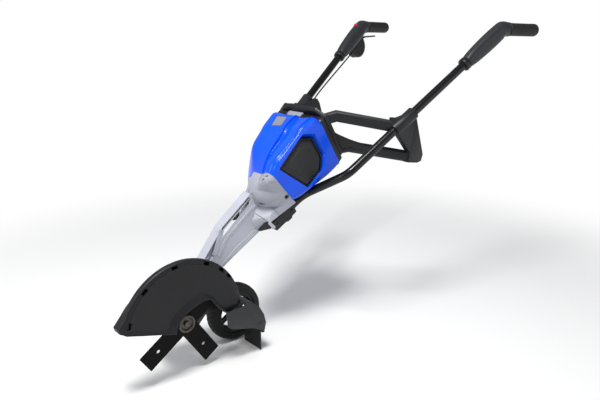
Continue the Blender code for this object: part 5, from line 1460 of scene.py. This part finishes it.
    def button(self) -> None:
        """The grey button, a plate that follows the skin with a rolled edge, and a thin dark seal."""
        key, corner = np.asarray(self.key, float), 0.003
        middle, rings = key.mean(axis=0), []
        for share, rise in ((1.0, -0.0120), (1.0, -0.0004), (0.985, 0.0006), (0.94, 0.0011),
                            (0.84, 0.0008), (0.50, 0.0004), (0.05, 0.0003)):
            ring = soft_corners(middle + (key - middle) * share, corner * share, 5)
            rings.append(self.on_front(ring, rise))
        button = Piece.grid("release_button_finished", np.array(rings)).sharp(50)
        button.done(GREY_BUTTON, "release_button", "release_button")
        path = self.on_front(soft_corners(grow(key, 0.0007), corner, 5), 0.0001)
        closed = np.concatenate((path[-3:], path, path[:3]))
        Piece.swept("button_seal", closed, circle(0.0008, 10)).done(GREY_DARK, "machine")

    def latch(self) -> None:
        """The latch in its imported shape, its edges rounded."""
        Piece.copy_of("top_latch").rounded(0.0009, 3).done(GREY, "top_latch", "top_latch")

    def inside(self) -> None:
        """The sealed motor, its bearings, the shaft and the electronics."""
        finished(("motor_stator",), COPPER, "machine", 0.0006)
        finished(("motor_end_plate",), CASTING, "machine", 0.0006)
        finished(("shaft_bearing", "pinion_bearing", "spindle_bearing_far", "spindle_bearing_near"), STEEL,
                 "machine", 0.0004)
        finished(("motor_controller",), GREY_DARK, "machine", 0.0012)
        finished(("drive_shaft", "shaft_coupling", "motor_rotor", "bevel_pinion"), STEEL, "drive_train",
                 0.0003)


@dataclass
class DriveArm(SubAssembly):
    """The cast arm with its shaded pockets and raised borders, and the gear case at its foot."""

    near: float = 0.028
    groove: Pairs = ((0.1480, 0.0350), (0.2271, 0.0518), (0.3300, 0.0478), (0.3300, 0.0424),
                     (0.2290, 0.0466), (0.1500, 0.0302))
    pocket: Pairs = ((0.2060, 0.0462), (0.1520, 0.0335), (0.1662, 0.0215), (0.1850, 0.0325))
    upper_border: Pairs = ((0.1700, 0.0095), (0.2130, 0.0262), (0.3120, 0.0222), (0.3280, 0.0180),
                           (0.3280, 0.0110), (0.3110, 0.0150), (0.2150, 0.0190), (0.1730, 0.0020))
    lower_border: Pairs = ((0.1660, -0.0150), (0.2157, -0.0165), (0.2960, -0.0310), (0.2960, -0.0425),
                           (0.2212, -0.0310), (0.1650, -0.0178))
    strut: Pairs = ((0.2190, 0.0560), (0.2250, 0.0500), (0.1715, 0.0125), (0.1632, 0.0225))

    def build(self) -> None:
        """The casting, its borders, the strut across the foot's pocket and the gear case."""
        arm = Piece.copy_of("drive_arm")
        for outline, depth in ((self.groove, 0.011), (self.pocket, 0.004)):
            ring = soft_corners(outline, 0.0015, 3)
            arm.cut(slab("tool", ring, self.near - depth, self.near + 0.004, drive_point))
        arm.sharp(30).rounded(0.0012, 2, 40).done(CASTING, "machine", "drive_arm")
        for name, outline, corner, below, above in (
                ("arm_border_upper", self.upper_border, 0.003, 0.001, 0.0014),
                ("arm_border_lower", self.lower_border, 0.003, 0.001, 0.0014),
                ("arm_strut", self.strut, 0.002, 0.010, 0.0008)):
            span = (self.near - below, self.near + above)
            plate(name, soft_corners(outline, corner, 4), span, 0.0010).done(CASTING, "machine")
        finished(("gear_case", "gear_case_cover"), CASTING, "machine", 0.0018)


@dataclass
class Side(SubAssembly):
    """One side's tube, clamp, frame half and handle."""

    side: int
    word: str
    bend: float = 0.045
    tube_radius: float = 0.011
    low: Triple = (0.047, 0.274, 0.170)
    bend_low: Triple = (0.047, 0.378, 0.230)
    bend_high: Triple = (0.165, 0.424, 0.299)
    direction: Triple = (0.160, 0.8024, 0.575)
    grip: Triple = (0.131, 0.990, -0.030)
    elbow_at: float = 0.597
    handle_length: float = 0.160
    grip_start: float = 0.022
    grip_length: float = 0.119
    grip_radius: float = 0.018
    button_drop: float = 0.022
    tube_short: float = 0.052
    ear: Pairs = ((0.3160, -0.0275), (0.4030, -0.0546), (0.4000, -0.0330), (0.3850, -0.0290),
                  (0.3450, -0.0130), (0.3290, -0.0130))
    ear_root: Pairs = ((0.2850, -0.0275), (0.4030, -0.0546), (0.4000, -0.0200), (0.3850, -0.0050),
                       (0.3350, 0.0100), (0.2950, -0.0060))
    tail: Pairs = ((0.2807, -0.0184), (0.3143, -0.0228), (0.3200, -0.0480), (0.3061, -0.0415))
    bracket: Pairs = ((0.3095, -0.0245), (0.3180, -0.0255), (0.3190, -0.0500), (0.3095, -0.0490))
    lower_bar: tuple[Triple, ...] = (
        (0.0720, 0.4717, 0.3424), (0.0880, 0.5039, 0.3475), (0.1865, 0.6340, 0.3185))

    def build(self) -> None:
        """From the tube and its clamp up to the grip."""
        self.tube()
        self.clamp()
        finished((self.word + "_frame",), CHARCOAL, "machine", 0.0016, 30)
        self.web()
        self.handle()
        self.grip_sleeve()
        self.collar()

    def along(self) -> Array:
        """The upper run's direction on this side."""
        return unit(self.direction) * np.array((self.side, 1, 1))

    def grip_along(self) -> Array:
        """The grip's direction on this side."""
        return unit(self.grip) * np.array((self.side, 1, 1))

    def upper(self, reach: float | Array) -> Array:
        """A point of the upper run, a reach above its high bend."""
        return beside(self.bend_high, self.side) + np.asarray(reach, float)[..., None] * self.along()

    def tube(self) -> None:
        """The bent tube, its paint smooth over the bends."""
        corners = [beside(place, self.side) for place in (self.low, self.bend_low, self.bend_high)]
        corners.append(self.upper(self.elbow_at - self.tube_short))
        name = self.word + "_tube"
        tube = Piece.swept(name + "_finished", bent_path(np.array(corners), self.bend, 22),
                           circle(self.tube_radius, 36))
        tube.sharp(60).done(TUBE, "machine", name)

    def clamp(self) -> None:
        """The clamp block, cut flat on top, with its screws, ear, tail and bracket."""
        name = self.word + "_tube_clamp"
        block = Piece.copy_of(name)
        above = ((0.270, -0.0134), (0.420, -0.0601), (0.420, 0.020), (0.270, 0.020))
        block.cut(slab("above", above, -0.1, 0.1, drive_point)).sharp(30)
        block.rounded(0.0018, 2, 40).done(CHARCOAL_SATIN, "machine", name)
        self.clamp_screws(name)
        self.clamp_ear(name + "_ear")
        for word, outline, outer, inner, finish in (
                ("_tail", self.tail, 0.0625, 0.0520, CHARCOAL_SATIN),
                ("_bracket", self.bracket, 0.0650, 0.0600, CASTING)):
            span = (self.side * inner, self.side * outer)
            plate(name + word, soft_corners(outline, 0.0025, 4), span, 0.0009).done(finish, "machine")

    def clamp_screws(self, name: str) -> None:
        """Two screws in the clamp's outer face, over the tube's lower run.

        Args:
            name: the clamp's name.
        """
        low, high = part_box(name)
        outer = high.x if self.side > 0 else low.x
        run = unit(np.array(self.bend_low) - np.array(self.low))
        heads = []
        for reach in (0.012, 0.064):
            spot = beside(self.low, self.side) + run * reach
            spot[0] = outer
            heads.append(screw_head("head", spot, (self.side, 0, 0), 0.0042, 0.0022))
        merged(name + "_screws", heads).done(DARK_STEEL, "machine")

    def clamp_ear(self, name: str) -> None:
        """The cast ear between the arm and the clamp, narrowing outwards, with two fine grooves.

        Args:
            name: the ear's name.
        """
        rings = [drive_point(self.side * x, *soft_corners(outline, 0.004, 4).T)
                 for x, outline in ((0.0275, self.ear_root), (0.0640, self.ear))]
        ear = Piece.grid(name, np.array(rings))
        for place in (0.3130, 0.3460):
            end = place + 0.0011
            line = ((place, -0.08), (end, -0.08), (end, 0.04), (place, 0.04))
            ear.cut(slab("line", line, self.side * 0.0292, self.side * 0.08, drive_point))
        ear.rounded(0.0012, 3).done(CASTING, "machine")

    def web(self) -> None:
        """The curved web from the frame's root down to the top of its lower bar.

        Formula: the upper edge is a quadratic curve that starts 70 mm up the root's face, bends 17 mm
        above the bar's middle line and ends in the bar 92 mm along it.
        """
        root_face, root_height = np.array((0.0, -0.511, 0.860)), 0.070
        bow, foot, half = 0.017, 0.0125, 0.0085
        centre = beside(along_line(self.lower_bar, 203)[4:97:4], self.side)
        share = np.linspace(0, 1, len(centre))[:, None]
        start = centre[0] + root_face * root_height
        bend, end = centre[6] + (0.0, 0.0, bow), centre[-1] + (0.0, 0.0, foot)
        top = quadratic(start, bend, end, share)
        across = unit(np.cross(np.gradient(centre, axis=0), UPWARDS)) * half
        rings = np.stack((centre - across, top - across, top + across, centre + across), axis=1)
        Piece.grid(self.word + "_frame_web", rings).rounded(0.0022, 3).done(CHARCOAL, "machine")

    def stations(self) -> tuple[Array, Array]:
        """The handle's stations: centres and directions, and heights and widths of its section.

        Returns:
            Rows of centre and direction, and rows of half height and half width.
        """
        along, grip = self.along(), self.grip_along()
        start, elbow = self.elbow_at - self.handle_length, self.upper(self.elbow_at)
        places = (start + 0.0143, start + 0.031, start + 0.068, start + 0.108, self.elbow_at - 0.017)
        rows = [np.r_[self.upper(place), along] for place in places]
        rows += [np.r_[elbow, unit(along + grip)], np.r_[elbow + grip * self.grip_start, grip]]
        sizes = ((0.0155, 0.0150), (0.0190, 0.0160), (0.0225, 0.0170), (0.0235, 0.0180), (0.0225, 0.0180),
                 (0.0205, 0.0175), (0.0190, 0.0165))
        return np.array(rows), np.array(sizes)

    def panel(self, turn: Array, share: Array) -> tuple[Array, Array] | tuple[float, float]:
        """How far the left handle is pressed in, by its ribbed lower half and by the line above that.

        Args:
            turn: angles round the section, from its top.
            share: how far along the handle each ring lies, from 0 to 1, as a column.

        Returns:
            The ribs' and the line's depths as shares of the section, both nought on the right handle.
        """
        if self.side < 0:
            return 0.0, 0.0
        start = smooth((share - 0.10) / 0.04)
        ribs = smooth((0.12 - np.cos(turn)) / 0.05)[None] * start * smooth((0.80 - share) / 0.05)
        line = np.exp(-((np.cos(turn) - 0.16) / 0.035) ** 2)[None] * start
        ribs = ribs * 0.030 * (0.5 + 0.5 * np.cos(turn * 22))[None]
        return ribs, line * smooth((0.82 - share) / 0.05) * 0.045

    def handle(self) -> None:
        """The moulded handle body, smooth over its length, with the parting line of its two halves.

        Formula: rings of a soft superellipse, high and wide, along a Catmull-Rom run through the
        stations; the ring dips by 0.5 mm in a narrow band at its top and its bottom, and shrinks to
        four fifths at both ends.
        """
        rows, sizes = self.stations()
        spots = run_lengths(rows[:, :3])
        wanted = np.linspace(0, spots[-1], 64)
        fine = smooth_rows(spots, np.concatenate((rows, sizes), axis=1), wanted)
        centre, along = fine[:, :3], unit(fine[:, 3:6])
        lateral, top = square_to(along)
        turn, power = round_turn(220), 0.86
        high = np.sign(np.cos(turn)) * np.abs(np.cos(turn)) ** power
        wide = np.sign(np.sin(turn)) * np.abs(np.sin(turn)) ** power
        dip = 1 - 0.028 * np.exp(-(np.sin(turn) / 0.035) ** 2)
        ends = np.minimum(smooth((wanted + 0.0012) / 0.004), smooth((spots[-1] - wanted + 0.0015) / 0.004))
        size = (0.80 + 0.20 * ends)[:, None]
        ribs, line = self.panel(turn, (wanted / spots[-1])[:, None])
        dip = dip[None] - ribs - line
        grid = (centre[:, None] + lateral[:, None] * (wide * dip * fine[:, 7:8] * size)[..., None]
                + top[:, None] * (high * dip * fine[:, 6:7] * size)[..., None])
        word = self.word + "_handle"
        body = Piece.grid(word + "_body", grid)
        if self.side < 0:
            spot, up = self.upper(self.elbow_at - self.button_drop), square_to(self.along())[1]
            body.cut(peg(spot, up, 0.0078, (0.010, 0.040), 40))
        # The body wears the lighter copy of the moulding, painted light.
        body.sharp(50).done(HANDLE_PAINTED_LIGHT, "machine", word + "_outer", word + "_inner")

    def grip_sleeve(self) -> None:
        """The soft grip: a round sleeve with a rolled flange, ribs on one side and a knurl on the other.

        Formula: radius = sleeve + ribs of a squared sine along the left one's lower side, or a diamond
        field made of two waves that cross round the right one, faded at both ends.
        """
        length, radius = self.grip_length, self.grip_radius
        flange, flange_edge, cap_length, rib_pitch, rounds = 0.0006, 0.0015, 0.011, 0.0042, 18
        a, turn = np.linspace(0, length, 150), round_turn(96)
        body = np.full_like(a, radius - flange)
        body = np.where(a < 0.004, radius - flange_edge + flange_edge * smooth(a / 0.002), body)
        body += flange * smooth(1 - np.abs(a - 0.0035) / 0.003)
        cap = np.sqrt(np.maximum(1 - (np.maximum(a - (length - cap_length), 0) / cap_length) ** 2, 0.0))
        body *= np.where(a > length - cap_length, 0.35 + 0.65 * cap, 1.0)
        fade = smooth((a - 0.012) / 0.006) * smooth((length - 0.020 - a) / 0.008)
        if self.side > 0:
            ribs = 0.00035 * np.sin(a * 2 * math.pi / rib_pitch)[:, None] ** 2
            relief = ribs * (np.cos(turn) < 0.35)[None]
        else:
            round_way, along_way = rounds * turn[None], a[:, None] * 900
            relief = 0.00055 * np.abs(np.sin(round_way + along_way) * np.sin(round_way - along_way))
        reach = body[:, None] - 0.0004 * fade[:, None] + relief * fade[:, None]
        grip = self.grip_along()
        lateral, top = square_to(grip)
        start = self.upper(self.elbow_at) + grip * (self.grip_start + GAP)
        grid = (start + a[:, None, None] * grip + lateral * (reach * np.sin(turn))[..., None]
                + top * (reach * np.cos(turn))[..., None])
        name = self.word + "_grip"
        Piece.grid(name + "_finished", grid).sharp(60).done(RUBBER, "machine", name)

    def collar(self) -> None:
        """The ring at the handle's lower end."""
        profile = ((0.0, 0.0113), (0.0, 0.0150), (0.0012, 0.0168), (0.0030, 0.0175), (0.0128, 0.0175),
                   (0.0138, 0.0168), (0.0140, 0.0113))
        name = self.word + "_collar"
        start = self.upper(self.elbow_at - self.handle_length)
        collar = Piece.turned(name + "_finished", profile, start, self.along(), 48)
        collar.sharp(50).done(CHARCOAL_SATIN, "machine", name)


@dataclass
class Controls(SubAssembly):
    """What the right handle carries: switch drum, trigger, lock button and the cable."""

    right: Side
    drum_radius: float = 0.036
    half: float = 0.0135
    drum_at: Triple = (-0.003, 0.062, 0.030)

    def build(self) -> None:
        """The drum, the lever with its pin, the button and the cable."""
        self.drum()
        finished(("trigger",), CHARCOAL_SATIN, "trigger", 0.0009)
        finished(("trigger_pin",), STEEL, "machine", 0.0003)
        self.button()
        self.cable()

    def drum(self) -> None:
        """The flat round switch housing below the handle, with a groove round its rim."""
        lateral, top = square_to(self.right.along())
        aside, back, drop = self.drum_at
        centre = self.right.upper(self.right.elbow_at - back) - top * drop + lateral * aside
        r, h = self.drum_radius, self.half
        face = ((0.0, r * 0.55), (0.0006, r * 0.56), (0.0006, r - 0.0055), (0.0, r - 0.0050),
                (0.0008, r - 0.0020), (0.0030, r))
        groove = ((-0.0012, r), (-0.0008, r - 0.0008), (0.0008, r - 0.0008), (0.0012, r))
        profile = ((-h, 0.0), *((depth - h, reach) for depth, reach in face), *groove,
                   *((h - depth, reach) for depth, reach in reversed(face)), (h, 0.0))
        drum = Piece.turned("switch_housing_finished", profile, centre, lateral, 72)
        drum.sharp(35).done(CHARCOAL, "machine", "switch_housing")

    def button(self) -> None:
        """The red button with a dished top."""
        top = square_to(self.right.along())[1]
        centre = self.right.upper(self.right.elbow_at - self.right.button_drop)
        profile = ((0.0145, 0.0), (0.0145, 0.0070), (0.0246, 0.0070), (0.0256, 0.0066), (0.0262, 0.0056),
                   (0.0260, 0.0040), (0.0252, 0.0020), (0.0250, 0.0))
        button = Piece.turned("lock_button_finished", profile, centre, top, 40)
        button.sharp(60).done(RED, "lock_button", "lock_button")

    def cable(self) -> None:
        """The cable keeps its solid's shape and takes the rubber finish."""
        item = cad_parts["control_cable"]
        item.data.materials.clear()
        item.data.materials.append(RUBBER.material())
        log.info("control_cable keeps its solid")


def facing(direction: Vector) -> Euler:
    """The turn that points a lamp or a camera in a direction."""
    return direction.to_track_quat("-Z", "Y").to_euler()


@dataclass
class Studio:
    """Pale floor, soft lamps, white surroundings and the camera."""

    place: Triple = (1.2534, -1.1119, 0.8094)
    azimuth: float = math.radians(49.16)
    elevation: float = math.radians(16.0)
    lens: float = 38.4
    aim: Triple = (0.0, 0.0, 0.3)
    floor_colour: tuple[float, ...] = (0.86, 0.86, 0.86, 1)
    dome_light: float = 0.30
    fade: tuple[float, float] = (0.75, 1.6)

    def build(self) -> None:
        """Sets the floor, the light and the camera."""
        self.floor()
        self.world()
        self.lamps()
        self.camera()
        bpy.context.scene.view_settings.view_transform = "Standard"

    def floor(self) -> None:
        """A wide disc of pale floor that fades into plain white for the camera away from the machine."""
        turn, radii, below = round_turn(96), (0.6, 1.2, 2.4, 5.0, 9.0), -0.0002
        grid = np.stack([np.stack((r * np.cos(turn), r * np.sin(turn), np.full_like(turn, below)), axis=-1)
                         for r in radii])
        faces = grid_quads(len(radii), len(turn), False, True) + [list(range(len(turn)))]
        piece = Piece.of("studio_floor", grid, faces)
        made = bpy.data.materials.new("studio_floor")
        made.use_nodes = True
        tree, nodes = Tree(made.node_tree), made.node_tree.nodes
        shader = nodes["Principled BSDF"]
        inputs = {"Base Color": self.floor_colour, "Roughness": 0.9, "Specular IOR Level": 0.0}
        tree.feed(shader, inputs)
        white = tree.add("Emission", {"Color": WHITE, "Strength": 1.0})
        place = tree.add("TexCoord").outputs["Object"]
        reach = tree.add("VectorMath", {0: place}, operation="LENGTH").outputs["Value"]
        inputs = {"Value": reach, "From Min": self.fade[0], "From Max": self.fade[1]}
        fade = tree.add("MapRange", inputs, interpolation_type="SMOOTHSTEP").outputs["Result"]
        inputs = {"Fac": fade, 1: shader.outputs["BSDF"], 2: white.outputs["Emission"]}
        mix = tree.add("MixShader", inputs)
        tree.feed(nodes["Material Output"], {"Surface": mix.outputs["Shader"]})
        piece.item.data.materials.append(made)
        piece.item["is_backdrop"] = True

    def world(self) -> None:
        """White for the camera and a soft grey dome for the light."""
        world = bpy.data.worlds.new("studio_white")
        bpy.context.scene.world = world
        world.use_nodes = True
        world.node_tree.nodes.clear()
        tree = Tree(world.node_tree)
        dome = tree.add("Background", {"Color": (0.92, 0.95, 1.0, 1), "Strength": self.dome_light})
        white = tree.add("Background", {"Color": WHITE, "Strength": 1.0})
        seen = tree.add("LightPath").outputs["Is Camera Ray"]
        inputs = {"Fac": seen, 1: dome.outputs["Background"], 2: white.outputs["Background"]}
        mix = tree.add("MixShader", inputs)
        tree.add("OutputWorld", {"Surface": mix.outputs["Shader"]})

    def lamps(self) -> None:
        """A key above the near side, a fill by the handles, a lamp before the blade and a rim behind."""
        for name, place, power, size, tint in (
                ("key", (0.5, -0.9, 2.3), 54.0, 0.6, (1.0, 0.99, 0.97)),
                ("fill", (2.2, 0.8, 0.9), 6.0, 1.2, (0.95, 0.97, 1.0)),
                ("front", (-0.4, -2.2, 1.2), 14.0, 1.0, (1.0, 1.0, 1.0)),
                ("rim", (-1.6, 1.2, 1.6), 9.0, 1.0, (0.97, 0.98, 1.0))):
            lamp = bpy.data.lights.new(name, "AREA")
            lamp.energy = power
            lamp.size = size
            lamp.color = tint
            item = bpy.data.objects.new(name, lamp)
            item.location = place
            item.visible_glossy = name != "rim"
            item.rotation_euler = facing(Vector(self.aim) - Vector(place))
            bpy.context.scene.collection.objects.link(item)

    def camera(self) -> None:
        """The camera at the photograph's angle."""
        lens = bpy.data.cameras.new("camera")
        lens.lens = self.lens
        lens.sensor_width = 36.0
        item = bpy.data.objects.new("camera", lens)
        az, el = self.azimuth, self.elevation
        look = Vector((-math.sin(az) * math.cos(el), math.cos(az) * math.cos(el), -math.sin(el)))
        item.location = self.place
        item.rotation_euler = facing(look)
        bpy.context.scene.collection.objects.link(item)
        bpy.context.scene.camera = item


def corners() -> list[list[float]]:
    """The object's present box as two plain lists."""
    low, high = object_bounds()
    return [[round(float(value), 6) for value in low], [round(float(value), 6) for value in high]]


def main() -> None:
    """Builds the studio, then every sub-assembly in order."""
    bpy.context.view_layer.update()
    right = Side(-1, "right")
    Studio().build()
    groups: list[SubAssembly] = [Blades(), Guard(), DriveArm(), MotorHousing(), Side(1, "left"), right,
                                 Controls(right), Wheel()]
    for group in groups:
        group.build()


if __name__ == "__main__":
    main()
